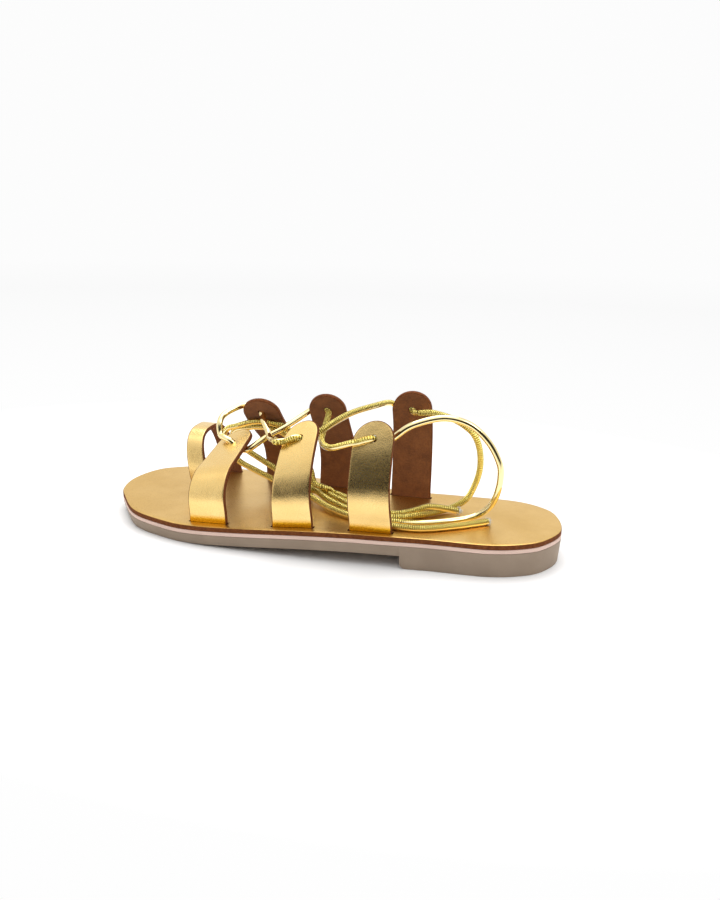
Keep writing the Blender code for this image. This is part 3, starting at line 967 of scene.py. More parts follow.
class Sole:
    """The three layers of the sole, with the slits that take the straps."""

    def __init__(self, finishes: Finishes, slits: Sequence[SlitCutter]) -> None:
        """Keep what the layers need.

        Args:
            finishes: the shared finishes.
            slits: the slits to open in the footbed.
        """
        self.finishes = finishes
        self.slits = slits

    def breast_shares(self) -> list[float]:
        """Work out the extra stations that round the heel's front corner.

        Returns:
            The stations as shares, for every line.
        """
        breast = SOLE.breast * SOLE.length
        shares = []
        for inset in (0.0, SOLE.draft):
            line = Outline(inset)
            places = [breast - SOLE.heel_corner * (1 - math.sin(math.radians(angle)))
                      for angle in RIMS.breast_angles]
            places += [breast + gap for gap in RIMS.past_breast]
            shares += [(place - line.start) / (line.end - line.start) for place in places]
        return shares

    def outsole(self) -> bpy.types.Object:
        """Make the rubber outsole with its heel block.

        Returns:
            Its object.
        """
        drafted = [EdgeLine(SOLE.draft * share, lambda x, share=share: (
            SOLE.outsole_top(x) * (1 - share) + SOLE.floor_side(x) * share)) for share in RIMS.draft_shares]
        lines = (rounded(SOLE.outsole_top, RIMS.outsole_rim) + drafted
                 + rounded(SOLE.floor_side, RIMS.outsole_foot))
        layer = SoleLayer("outsole_rubber", lines, (2, 7), [self.finishes.rubber],
                          extra=self.breast_shares())
        return layer.build()

    def midsole(self) -> bpy.types.Object:
        """Make the thin pink layer.

        Returns:
            Its object.
        """
        lines = rounded(SOLE.midsole_top, RIMS.midsole_rim) + rounded(SOLE.outsole_top, RIMS.midsole_foot)
        return SoleLayer("midsole_layer", lines, (1, 3), [self.finishes.pink]).build()

    def footbed(self) -> bpy.types.Object:
        """Make the gold-topped leather board with its slits.

        Returns:
            Its object.
        """
        lines = rounded(SOLE.footbed_top, RIMS.footbed_rim) + rounded(SOLE.midsole_top, RIMS.footbed_foot)
        layer = SoleLayer("footbed_board", lines, (1, 5),
                          [self.finishes.footbed_gold, self.finishes.cut_edge, self.finishes.flesh])
        piece = layer.build()
        carve(piece, [slit.build(self.finishes.cut_edge) for slit in self.slits])
        return piece

    def build(self) -> None:
        """Make the three layers and hand them over."""
        hand_over(self.outsole(), Slot.OUTSOLE, "outsole")
        hand_over(self.midsole(), Slot.MIDSOLE, "midsole")
        hand_over(self.footbed(), Slot.FOOTBED, "footbed")


# The straps and the toe loop


@dataclass(frozen=True)
class StrapSizes:
    """What all the straps share: sizes in millimetres, numbers of steps, and the tip's angle in degrees.

    The lean marks are the shares of the length at which a strap's leans are given, from its foot's.
    """

    length: float = 60.0
    width: float = 21.5
    thickness: float = 2.2
    inset: float = 7.0
    slit_clearance: float = 0.3
    slit_end_room: float = 0.8
    hole_radius: float = 1.8
    hole_sides: int = 36
    lean_marks: tuple = (0.0, 0.15, 0.5, 1.0)
    slope_reach: float = 5.0
    path_steps: int = 120
    straight_steps: int = 56
    tip_steps: int = 18
    tip_angle: float = 89.0
    wave: float = 0.16
    wave_length: float = 16.0
    ripple: float = 0.05
    ripple_length: float = 6.0
    dip: float = 0.12
    dip_reach: float = 6.0


STRAP = StrapSizes()


class Ribbon:
    """A strip of leather: a gold face, a brown back and cut edges, swept along a path.

    Its profile gives, from the gold face round the edge to the back, how far inside the edge each
    line runs in millimetres and how far out it lies as a share of half the thickness.
    """

    profile = ((0.42, 1.00), (0.15, 0.94), (0.0, 0.76), (0.0, -0.70), (0.10, -0.93), (0.32, -1.00))

    def __init__(self, finishes: Finishes) -> None:
        """Keep the finishes.

        Args:
            finishes: the shared finishes.
        """
        self.finishes = finishes
        self.columns = 18

    def stations(self, inset: float) -> list[tuple[float, float]]:
        """Return each station's distance along and half width, for a line inside the edge."""
        raise NotImplementedError

    def place(self, along: float, across: float, offset: float) -> tuple[float, float, float]:
        """Return a place in metres from a distance along, across and out from the middle."""
        raise NotImplementedError

    def rise(self, along: float) -> float:
        """Return the height above the footbed, in millimetres, at a distance along."""
        return along

    def loft(self, name: str) -> bpy.types.Object:
        """Loft the strip, with its gold face, cut edges and brown back.

        Args:
            name: the object's name.

        Returns:
            The strip's object.
        """
        half = STRAP.thickness / 2
        lines = [self.stations(inset) for inset, _ in self.profile]
        offsets = [share * half for _, share in self.profile]
        rings = []
        rises = []
        for index in range(len(lines[0])):
            along, wide = lines[0][index]
            rises.append(self.rise(along) * MM)
            ring = [self.place(along, -wide + 2 * wide * step / self.columns, offsets[0])
                    for step in range(self.columns + 1)]
            ring += [self.place(line[index][0], line[index][1], offset)
                     for line, offset in zip(lines[1:], offsets[1:])]
            along, wide = lines[-1][index]
            ring += [self.place(along, wide - 2 * wide * step / self.columns, offsets[-1])
                     for step in range(1, self.columns + 1)]
            ring += [self.place(line[index][0], -line[index][1], offset)
                     for line, offset in zip(lines[-2:0:-1], offsets[-2:0:-1])]
            rings.append(ring)
        size = len(rings[0])
        edge = [SIDE] * (len(self.profile) - 1)
        zones = ([TOP] * self.columns + edge + [BOTTOM] * self.columns + edge) * (len(rings) - 1)
        faces = skin(len(rings), size)
        vertices = [place for ring in rings for place in ring]
        for start in (0, len(vertices) - size):
            faces.append(tuple(range(start, start + size)))
            zones.append(SIDE)
        materials = [self.finishes.strap_gold, self.finishes.cut_edge, self.finishes.flesh]
        piece = new_object(name, vertices, faces, materials, zones, smooth=SHARP_LEATHER)
        rise = piece.data.attributes.new("rise", "FLOAT", "POINT")
        rise.data.foreach_set("value", [value for value in rises for _ in range(size)])
        return piece


@dataclass(frozen=True)
class StrapRow:
    """One strap: its side, its slit's place and how it leans; lengths are shares, angles in degrees."""

    name: str
    side: Side
    station: float
    inset: float
    length: float
    leans: tuple[float, float, float]
    turn: float
    rise: float
    tip_width: float
    hole_from_tip: float


STRAP_ROWS = (
    StrapRow("strap_front_lateral", Side.LATERAL,
             0.7070, 0.986, 1.080, (-9, 73, 69), -1.0, 18.0, 0.912, 0.521),
    StrapRow("strap_middle_lateral", Side.LATERAL,
             0.5176, 0.843, 0.945, (-12, 28, 46), 6.0, 17.0, 0.865, 0.437),
    StrapRow("strap_rear_lateral", Side.LATERAL,
             0.3544, 0.771, 0.953, (-18, 15, 27), 6.0, 6.0, 0.958, 0.414),
    StrapRow("strap_front_medial", Side.MEDIAL,
             0.6680, 1.143, 1.125, (3, 50, 32), 7.0, 8.0, 1.000, 0.447),
    StrapRow("strap_middle_medial", Side.MEDIAL,
             0.5168, 1.114, 1.048, (-8, 32, 25), 9.0, 8.0, 0.986, 0.451),
    StrapRow("strap_rear_medial", Side.MEDIAL,
             0.3384, 1.057, 0.997, (-7, -1, 20), 2.0, 8.0, 0.986, 0.488),
)


class LaceStrap(Ribbon):
    """One upright strap with its lace hole."""

    def __init__(self, row: StrapRow, finishes: Finishes) -> None:
        """Work out the strap's path.

        Args:
            row: the strap's own measures.
            finishes: the shared finishes.
        """
        super().__init__(finishes)
        self.row = row
        self.sign = row.side.value
        self.x = row.station * SOLE.length
        reach = STRAP.slope_reach
        lateral, medial = EDGE.widths(self.x)
        before = EDGE.widths(self.x - reach)
        after = EDGE.widths(self.x + reach)
        edge = lateral if self.sign > 0 else medial
        ahead = (after[0] - before[0]) if self.sign > 0 else (after[1] - before[1])
        self.y = edge - self.sign * row.inset * STRAP.inset
        self.length = row.length * STRAP.length
        self.hole_length = self.length - row.hole_from_tip * STRAP.width
        self.tip = row.tip_width * STRAP.width / 2
        self.yaw = math.atan2(ahead, 2 * reach) * 0.5 + math.radians(row.turn) * 0.5
        self.slope = (SOLE.footbed_top(self.x + reach) - SOLE.footbed_top(self.x - reach)) / (2 * reach)
        self.depth = SOLE.footbed - SOLE.seam
        self.lengths = np.linspace(0.0, self.length, STRAP.path_steps + 1)
        self.leans = np.radians(np.interp(self.lengths / self.length, STRAP.lean_marks, (0.0, *row.leans)))
        middle = (self.leans[1:] + self.leans[:-1]) / 2
        stride = self.length / STRAP.path_steps
        self.inwards = np.concatenate([[0.0], np.cumsum(np.sin(middle) * stride)])
        self.heights = np.concatenate([[0.0], np.cumsum(np.cos(middle) * stride)])

    def frame(self, length: float) -> tuple[np.ndarray, np.ndarray, np.ndarray, np.ndarray]:
        """Work out how the strap stands at a length up it.

        Args:
            length: the length from the footbed, in millimetres.

        Returns:
            The place and the directions across, up and outward.
        """
        inward = float(np.interp(length, self.lengths, self.inwards))
        height = float(np.interp(length, self.lengths, self.heights)) + min(length, 0.0)
        lean = float(np.interp(length, self.lengths, self.leans))
        share = max(length, 0.0) / self.length
        fall = self.slope * (1 - share) - math.tan(math.radians(self.row.rise)) * share
        place = np.array([self.x, self.y - self.sign * inward, SOLE.footbed_top(self.x) + height])
        across = np.array([math.cos(self.yaw), math.sin(self.yaw), fall])
        up = np.array([0.0, -self.sign * math.sin(lean), math.cos(lean)])
        outward = np.cross(up, across) * self.sign
        return place, across, up, outward / np.linalg.norm(outward)

    def near_hole(self, outward: float, forward: float, up: float = 0.0) -> tuple[float, float, float]:
        """Find a place set off from the hole's centre.

        Args:
            outward: how far out from the strap's middle surface, in millimetres.
            forward: how far to the toe.
            up: how far up.

        Returns:
            The place, measured from the heel.
        """
        place, across, rising, away = self.frame(self.hole_length)
        return tuple(place + away * outward + across * forward + rising * up)

    def stations(self, inset: float) -> list[tuple[float, float]]:
        """Work out the stations of a line inside the edge.

        Args:
            inset: how far inside the edge it runs.

        Returns:
            Each station's distance along and half width.
        """
        shoulder = self.length - self.tip
        result = [(-self.depth, STRAP.width / 2 - inset)]
        for step in range(STRAP.straight_steps + 1):
            share = step / STRAP.straight_steps
            wide = STRAP.width / 2 + (self.tip - STRAP.width / 2) * share
            result.append((shoulder * share, wide - inset))
        for step in range(1, STRAP.tip_steps + 1):
            angle = math.radians(STRAP.tip_angle) * step / STRAP.tip_steps
            reach = self.tip - inset
            result.append((shoulder + reach * math.sin(angle), reach * math.cos(angle)))
        return result

    def sway(self, along: float, across: float) -> float:
        """Work out the small waves of handled leather.

        Args:
            along: the distance along the strap.
            across: the distance across it.

        Returns:
            How far the wave stands out from the middle surface.
        """
        seed = self.x * 1.7 + 31.0 * self.sign
        free = min(max(along / self.length, 0.0), 1.0)
        wave = (STRAP.wave * waver(along, across * 0.6, seed, STRAP.wave_length)
                + STRAP.ripple * waver(along, across, seed, STRAP.ripple_length))
        pull = math.exp(-((along - self.hole_length) ** 2 + across ** 2) / STRAP.dip_reach ** 2)
        return wave * min(free * 4, 1.0) - STRAP.dip * pull

    def place(self, along: float, across: float, offset: float) -> tuple[float, float, float]:
        """Find one place of the strip.

        Args:
            along: the distance along the strip.
            across: the distance across it.
            offset: the distance out from its middle surface.

        Returns:
            The place in metres.
        """
        middle, side, _, outward = self.frame(along)
        reach = offset + self.sway(along, across)
        return from_heel(*(middle + side * across + outward * reach))

    def punch(self) -> bpy.types.Object:
        """Make the guide solid of the strap's lace hole.

        Returns:
            The guide solid.
        """
        place, across, _, outward = self.frame(self.hole_length)
        level = across / np.linalg.norm(across)
        upright = np.cross(outward, level)
        vertices = []
        for reach in (-1.5 * STRAP.thickness, 1.5 * STRAP.thickness):
            for step in range(STRAP.hole_sides):
                angle = 2 * math.pi * step / STRAP.hole_sides
                spoke = level * math.cos(angle) + upright * math.sin(angle)
                vertices.append(from_heel(*(place + outward * reach + spoke * STRAP.hole_radius)))
        return new_object("punch_" + self.row.name, vertices, prism(STRAP.hole_sides),
                          [self.finishes.cut_edge])

    def slit(self) -> SlitCutter:
        """Measure the strap's slit in the footbed.

        Returns:
            The slit's cutter.
        """
        return SlitCutter("slit_" + self.row.name, self.x, self.y, self.yaw,
                          STRAP.width / math.cos(self.yaw) + 2 * STRAP.slit_end_room,
                          STRAP.thickness + 2 * STRAP.slit_clearance)

    def build(self) -> None:
        """Make the strap, punch its hole and hand it over."""
        piece = self.loft(self.row.name + "_leather")
        carve(piece, [self.punch()], smooth=SHARP_LEATHER)
        hand_over(piece, Slot.STRAP, self.row.name)


@dataclass(frozen=True)
class ToeLoopSizes:
    """The toe loop's own sizes, in millimetres, its station, its lean and its numbers of steps."""

    width: float = 12.0
    top_width: float = 9.5
    rise: float = 32.5
    lean: float = 0.22
    squareness: float = 3.0
    station: float = 0.8124
    inner_edge: float = 3.3
    inset: float = 5.4
    arch_steps: int = 160
    stations: int = 120
    stride: float = 0.9
    wave: float = 0.10
    wave_length: float = 9.0


class ToeLoop(Ribbon):
    """The narrow arch over the big toe."""

    def __init__(self, finishes: Finishes) -> None:
        """Work out the loop's path.

        Args:
            finishes: the shared finishes.
        """
        super().__init__(finishes)
        self.sizes = ToeLoopSizes()
        self.columns = 12
        self.x = self.sizes.station * SOLE.length
        self.inner = -self.sizes.inner_edge
        self.outer = EDGE.widths(self.x)[1] + self.sizes.inset
        self.depth = SOLE.footbed - SOLE.seam
        turns = np.linspace(0.0, math.pi, self.sizes.arch_steps + 1)
        arch = np.array([self.profile_at(turn) for turn in turns])
        start = np.array([[self.inner, -self.depth]])
        end = np.array([[self.outer, -self.depth]])
        self.path = np.vstack([start, arch, end])
        stride = np.linalg.norm(np.diff(self.path, axis=0), axis=1)
        self.travel = np.concatenate([[0.0], np.cumsum(stride)])

    def profile_at(self, angle: float) -> tuple[float, float]:
        """Follow the arch.

        Args:
            angle: how far round it from its start, in radians.

        Returns:
            The distance across and the height.
        """
        power = 2 / self.sizes.squareness
        cosine = math.cos(angle)
        reach = math.copysign(abs(cosine) ** power, cosine)
        middle = (self.inner + self.outer) / 2
        half = (self.inner - self.outer) / 2
        return middle + half * reach, self.sizes.rise * abs(math.sin(angle)) ** power

    def stations(self, inset: float) -> list[tuple[float, float]]:
        """Work out the stations of a line inside the edge.

        Args:
            inset: how far inside the edge it runs.

        Returns:
            Each station's distance along and half width.
        """
        result = []
        for along in np.linspace(0.0, self.travel[-1], self.sizes.stations):
            height = float(np.interp(along, self.travel, self.path[:, 1]))
            share = min(max(height / self.sizes.rise, 0.0), 1.0) ** 1.5
            wide = self.sizes.width + (self.sizes.top_width - self.sizes.width) * share
            result.append((float(along), wide / 2 - inset))
        return result

    def place(self, along: float, across: float, offset: float) -> tuple[float, float, float]:
        """Find one place of the strip.

        Args:
            along: the distance along the strip.
            across: the distance across it.
            offset: the distance out from its middle surface.

        Returns:
            The place in metres.
        """
        y = float(np.interp(along, self.travel, self.path[:, 0]))
        height = float(np.interp(along, self.travel, self.path[:, 1]))
        ends = [min(max(along + shift, 0.0), self.travel[-1])
                for shift in (-self.sizes.stride, self.sizes.stride)]
        run = [np.array([np.interp(end, self.travel, self.path[:, 0]),
                         np.interp(end, self.travel, self.path[:, 1])]) for end in ends]
        way = (run[1] - run[0]) / np.linalg.norm(run[1] - run[0])
        outward = np.array([way[1], -way[0]])
        wave = self.sizes.wave * waver(along, across, 5.0, self.sizes.wave_length)
        wave = wave * min(max(height, 0.0) / 6.0, 1.0)
        reach = offset + wave
        x = self.x + self.sizes.lean * max(height, 0.0) + across
        return from_heel(x, y + outward[0] * reach, SOLE.footbed_top(self.x) + height + outward[1] * reach)

    def rise(self, along: float) -> float:
        """Return the height above the footbed, in millimetres, at a distance along."""
        return float(np.interp(along, self.travel, self.path[:, 1]))

    def slits(self) -> list[SlitCutter]:
        """Measure the loop's two slits in the footbed.

        Returns:
            The slits' cutters.
        """
        return [SlitCutter(name, self.x, y, 0.0, self.sizes.width + 2 * STRAP.slit_clearance,
                           STRAP.thickness + 2 * STRAP.slit_clearance)
                for name, y in (("slit_toe_loop_inner", self.inner), ("slit_toe_loop_outer", self.outer))]

    def build(self) -> None:
        """Make the loop and hand it over."""
        hand_over(self.loft("toe_loop_leather"), Slot.STRAP, "toe_loop")


# The lace


@dataclass(frozen=True)
class LaceSizes:
    """The lace's own sizes, in millimetres, its numbers of steps and its fibres for each square metre."""

    diameter: float = 3.3
    step: float = 0.9
    seam_depth: float = 0.14
    turn_reach: float = 9.0
    turn_steps: int = 30
    least_weight: float = 0.001
    hole_gap: float = 0.3
    core_radius: float = 1.4
    core_taper: float = 0.9
    core_depth: float = 1.8
    core_sink: float = 0.1
    core_sides: int = 20
    fibre_length: float = 1.5
    fibre_radius: float = 0.07
    fibre_density: float = 9.0e6


LACE = LaceSizes()


def from_middle(x: float, y: float, z: float) -> tuple[float, float, float]:
    """Read a place given from the middle of the footbed as one measured from the heel."""
    return x + SOLE.length / 2, y, z


def lace_line(points: Sequence) -> np.ndarray:
    """Run the lace's centreline.

    Args:
        points: the places that it passes through, measured from the heel in millimetres.

    Returns:
        Its evenly stepped places in metres.
    """
    steps = []
    for start, end in zip(points[:-1], points[1:]):
        gap = float(np.linalg.norm(np.subtract(end, start)))
        steps.append(max(2, round(gap / LACE.step)))
    curve = smooth_curve(points, steps)
    curve[:, 0] -= SOLE.length / 2
    travel = np.concatenate([[0.0], np.cumsum(np.linalg.norm(np.diff(curve, axis=0), axis=1))])
    even = np.linspace(0.0, travel[-1], max(int(travel[-1] / LACE.step), 8))
    return np.stack([np.interp(even, travel, curve[:, axis]) for axis in range(3)], axis=1) * MM


class NodeTree:
    """A small hand for laying out one Geometry Nodes tree."""

    def __init__(self, name: str, inputs: Sequence[tuple[str, str]]) -> None:
        """Start a tree.

        Args:
            name: the tree's name.
            inputs: each named input with its socket type, after the geometry.
        """
        self.tree = bpy.data.node_groups.new(name, "GeometryNodeTree")
        face = self.tree.interface
        face.new_socket("Geometry", in_out="INPUT", socket_type="NodeSocketGeometry")
        self.keys = {}
        for label, kind in inputs:
            self.keys[label] = face.new_socket(label, in_out="INPUT", socket_type=kind).identifier
        face.new_socket("Geometry", in_out="OUTPUT", socket_type="NodeSocketGeometry")
        self.source = self.tree.nodes.new("NodeGroupInput").outputs
        self.target = self.tree.nodes.new("NodeGroupOutput").inputs

    def node(self, kind: str, values: dict | None = None, **settings: object) -> bpy.types.Node:
        """Add a node.

        Args:
            kind: the node's type.
            values: a number or a link for each of its inputs.
            settings: its settings by name.

        Returns:
            The node.
        """
        made = self.tree.nodes.new(kind)
        for key, value in settings.items():
            setattr(made, key, value)
        for key, value in (values or {}).items():
            socket = made.inputs[key]
            if isinstance(value, bpy.types.NodeSocket):
                self.tree.links.new(value, socket)
            else:
                socket.default_value = value
        return made

    def maths(self, operation: str, first: object, second: object = 0.0) -> bpy.types.NodeSocket:
        """Join two values by one operation."""
        return self.node("ShaderNodeMath", {0: first, 1: second}, operation=operation).outputs[0]

    def close(self, geometry: bpy.types.NodeSocket, material: bpy.types.NodeSocket) -> None:
        """End the tree with its instances made real and its material set.

        Args:
            geometry: what the tree has made.
            material: the material for it.
        """
        real = self.node("GeometryNodeRealizeInstances", {"Geometry": geometry})
        dressed = self.node("GeometryNodeSetMaterial", {"Geometry": real.outputs[0], "Material": material})
        self.tree.links.new(dressed.outputs[0], self.target["Geometry"])

    def grow(self, host: bpy.types.Object, values: dict[str, object]) -> None:
        """Run the tree on a host object and leave the result as its plain mesh.

        Args:
            host: the object that the tree runs on.
            values: the value of each named input.
        """
        step = host.modifiers.new(self.tree.name, "NODES")
        step.node_group = self.tree
        for label, value in values.items():
            step[self.keys[label]] = value
        settle(host)


def rolled_lace_tree() -> NodeTree:
    """Lay out the tree that rolls a round, seamed lace along a line of edges.

    Returns:
        The tree.
    """
    tree = NodeTree("rolled lace", (
        ("Lace diameter", "NodeSocketFloat"),
        ("Seam depth", "NodeSocketFloat"),
        ("Lace finish", "NodeSocketMaterial"),
    ))
    line = tree.node("GeometryNodeMeshToCurve", {"Mesh": tree.source["Geometry"]})
    travel = tree.node("GeometryNodeSplineParameter")
    way = tree.node("GeometryNodeInputNamedAttribute", {"Name": "seam way"}, data_type="FLOAT_VECTOR")
    turned = tree.node("GeometryNodeSetCurveNormal", {"Curve": line.outputs[0], "Normal": way.outputs[0]},
                       mode="FREE")
    marked = tree.node("GeometryNodeStoreNamedAttribute",
                       {"Geometry": turned.outputs[0], "Name": "along", "Value": travel.outputs["Length"]},
                       data_type="FLOAT", domain="POINT")
    radius = tree.maths("MULTIPLY", tree.source["Lace diameter"], 0.5)
    circle = tree.node("GeometryNodeCurvePrimitiveCircle", {"Resolution": 28, "Radius": radius})
    spot = tree.node("GeometryNodeInputPosition")
    facing = tree.node("ShaderNodeVectorMath", {0: spot.outputs[0]}, operation="NORMALIZE")
    labelled = tree.node("GeometryNodeStoreNamedAttribute",
                         {"Geometry": circle.outputs[0], "Name": "around", "Value": facing.outputs[0]},
                         data_type="FLOAT_VECTOR", domain="POINT")
    split = tree.node("ShaderNodeSeparateXYZ", {0: facing.outputs[0]})
    near = tree.node("ShaderNodeMapRange", {"Value": split.outputs["X"], "From Min": 0.955, "From Max": 1.0,
                                            "To Min": 0.0, "To Max": 1.0}, interpolation_type="SMOOTHSTEP")
    sink = tree.maths("MULTIPLY", near.outputs[0], tree.source["Seam depth"])
    shrink = tree.maths("SUBTRACT", 1.0, tree.maths("DIVIDE", sink, radius))
    moved = tree.node("ShaderNodeVectorMath", {0: spot.outputs[0], "Scale": shrink}, operation="SCALE")
    notched = tree.node("GeometryNodeSetPosition",
                        {"Geometry": labelled.outputs[0], "Position": moved.outputs[0]})
    tube = tree.node("GeometryNodeCurveToMesh",
                     {"Curve": marked.outputs[0], "Profile Curve": notched.outputs[0], "Fill Caps": True})
    plain = tree.node("GeometryNodeRemoveAttribute", {"Geometry": tube.outputs[0], "Name": "custom_normal"})
    smooth = tree.node("GeometryNodeSetShadeSmooth", {"Geometry": plain.outputs[0]})
    tree.close(smooth.outputs[0], tree.source["Lace finish"])
    return tree


def frayed_end_tree() -> NodeTree:
    """Lay out the tree that sets short loose fibres on a small disc.

    Returns:
        The tree.
    """
    tree = NodeTree("frayed lace end", (
        ("Fibre length", "NodeSocketFloat"),
        ("Fibre radius", "NodeSocketFloat"),
        ("Fibre density", "NodeSocketFloat"),
        ("Seed", "NodeSocketInt"),
        ("Core finish", "NodeSocketMaterial"),
    ))
    disc = tree.source["Geometry"]
    seed = tree.source["Seed"]
    spread = tree.node("GeometryNodeDistributePointsOnFaces",
                       {"Mesh": disc, "Density": tree.source["Fibre density"], "Seed": seed})
    fibre = tree.node("GeometryNodeMeshCone",
                      {"Vertices": 5, "Radius Top": 0.00001, "Radius Bottom": tree.source["Fibre radius"],
                       "Depth": tree.source["Fibre length"]})
    lean = tree.node("FunctionNodeRandomValue", {"Min": (-0.55, -0.55, -3.0), "Max": (0.55, 0.55, 3.0),
                                                 "Seed": seed}, data_type="FLOAT_VECTOR")
    turned = tree.node("FunctionNodeRotateRotation",
                       {"Rotation": spread.outputs["Rotation"], "Rotate By": lean.outputs[0]},
                       rotation_space="LOCAL")
    size = tree.node("FunctionNodeRandomValue", {2: 0.55, 3: 1.15, "Seed": seed}, data_type="FLOAT")
    tuft = tree.node("GeometryNodeInstanceOnPoints",
                     {"Points": spread.outputs["Points"], "Instance": fibre.outputs[0],
                      "Rotation": turned.outputs[0], "Scale": size.outputs[1]})
    both = tree.node("GeometryNodeJoinGeometry")
    tree.tree.links.new(tuft.outputs[0], both.inputs[0])
    tree.tree.links.new(disc, both.inputs[0])
    tree.close(both.outputs[0], tree.source["Core finish"])
    return tree


# The ways that the seam side of the lace faces
SEAM_OUTER = (-0.30, 0.80, 0.52)
SEAM_RAISED = (0.0, -0.02, 1.0)
SEAM_LOW = (0.0, 0.80, -0.40)
SEAM_HIDDEN = (0.35, -0.86, -0.37)

# The free halves' places in millimetres from the middle of the footbed
LATERAL_PLACES = (
    # The loop, out and down to the footbed
    (-52.5, 18.5, 69.6), (-66.5, 12.5, 73.0), (-78.5, 8.5, 69.8), (-87.5, 5.8, 61.3),
    (-93.0, 4.2, 50.8), (-94.0, 3.6, 42.8), (-92.2, 3.0, 32.8), (-88.0, 2.4, 24.9),
    (-80.5, 4.5, 19.9), (-69.0, 13.6, 19.3),
    # Along the footbed to the knot
    (-56.0, 20.4, 19.25), (-42.0, 21.8, 19.2), (-28.0, 18.0, 19.1), (-15.4, 12.4, 18.8),
    (-5.6, 6.6, 18.7), (-0.3, 3.0, 18.8), (3.6, 0.4, 19.4),
    # The bow, out to its front
    (8.0, -1.4, 20.5), (14.6, -2.0, 20.4), (21.7, -2.6, 19.3), (28.5, -5.6, 19.6),
    (36.5, -7.8, 21.6), (47.0, -8.0, 25.4), (57.0, -8.2, 29.6), (63.6, -8.2, 36.4),
    (66.0, -8.2, 43.2),
    # The bow, back over the top
    (63.4, -8.2, 48.0), (58.4, -8.2, 49.8), (50.8, -8.2, 52.6), (44.2, -8.2, 54.0),
    (36.8, -8.6, 53.8), (29.2, -10.4, 51.4), (21.6, -10.6, 45.0), (16.0, -7.4, 36.0),
    # Round the knot
    (11.6, -4.2, 30.4), (9.8, -2.2, 26.6), (7.8, -0.2, 25.0), (4.6, 0.6, 24.4),
    (1.7, -0.6, 23.2), (0.2, -3.4, 21.4), (-1.6, -4.8, 19.4), (-4.8, -4.2, 19.0),
    # The short end
    (-10.4, -0.9, 19.0), (-17.6, 2.6, 18.9), (-28.0, 8.4, 19.1), (-41.0, 11.8, 19.2),
    (-50.0, 8.0, 20.4), (-57.4, 5.0, 22.6), (-65.0, 2.6, 22.0), (-72.2, 0.0, 20.4),
)
MEDIAL_PLACES = (
    # The loop, out and down to the footbed
    (-55.0, -10.2, 68.2), (-65.5, -7.0, 67.2), (-72.5, -5.6, 64.6), (-77.8, -5.4, 60.2),
    (-80.6, -6.4, 52.2), (-80.6, -8.2, 41.6), (-77.6, -9.8, 31.2), (-73.4, -9.4, 23.4),
    (-66.0, -3.6, 19.6), (-55.0, 8.8, 19.3),
    # Along the footbed to the knot
    (-42.0, 16.8, 19.2), (-28.0, 13.2, 19.1), (-16.2, 7.4, 18.8), (-9.4, 3.1, 18.9),
    (-3.8, 0.0, 19.1), (1.8, -3.0, 19.6), (8.0, -5.0, 20.6),
    # The bow, out to its front
    (14.6, -5.4, 21.0), (21.4, -6.2, 21.4), (28.8, -9.6, 23.2), (36.6, -12.1, 26.2),
    (45.6, -12.1, 30.8), (54.0, -12.1, 35.2), (60.0, -12.1, 39.2), (62.6, -12.1, 43.4),
    # The bow, back over the top
    (60.0, -12.1, 46.4), (52.6, -12.3, 48.6), (45.8, -12.6, 49.6), (38.4, -13.0, 49.2),
    (29.6, -13.6, 45.6), (22.6, -12.4, 37.6),
    # Round the knot
    (19.2, -8.0, 29.4), (17.8, -3.6, 25.6), (16.8, 0.6, 23.4), (16.0, 1.9, 20.4),
    (15.2, 0.0, 17.8), (14.6, -4.0, 17.1), (14.2, -7.8, 18.4), (13.9, -9.0, 21.2),
    (13.6, -7.2, 23.8), (13.0, -3.4, 24.8), (12.0, 0.4, 23.4), (10.6, 2.3, 20.8),
    (8.6, 3.4, 18.9),
    # The long end
    (5.0, 5.8, 18.5), (1.1, 8.8, 18.5), (-4.3, 12.9, 18.7), (-9.4, 16.2, 18.9),
    (-16.0, 19.6, 19.0), (-28.0, 24.0, 19.1), (-44.0, 27.6, 19.2), (-60.0, 26.0, 19.2),
    (-76.0, 16.4, 19.2), (-89.0, 5.6, 19.2),
)


@dataclass(frozen=True)
class FreeLace:
    """One free half of the lace, from a rear strap's hole to its cut end.

    Its points are measured from the heel in millimetres.  Its seams are shares of its length, each
    with the way that the seam side faces there.
    """

    name: str
    end_name: str
    points: list
    nodes: tuple[str, ...]
    seed: int
    seams: tuple[tuple[float, tuple[float, float, float]], ...]


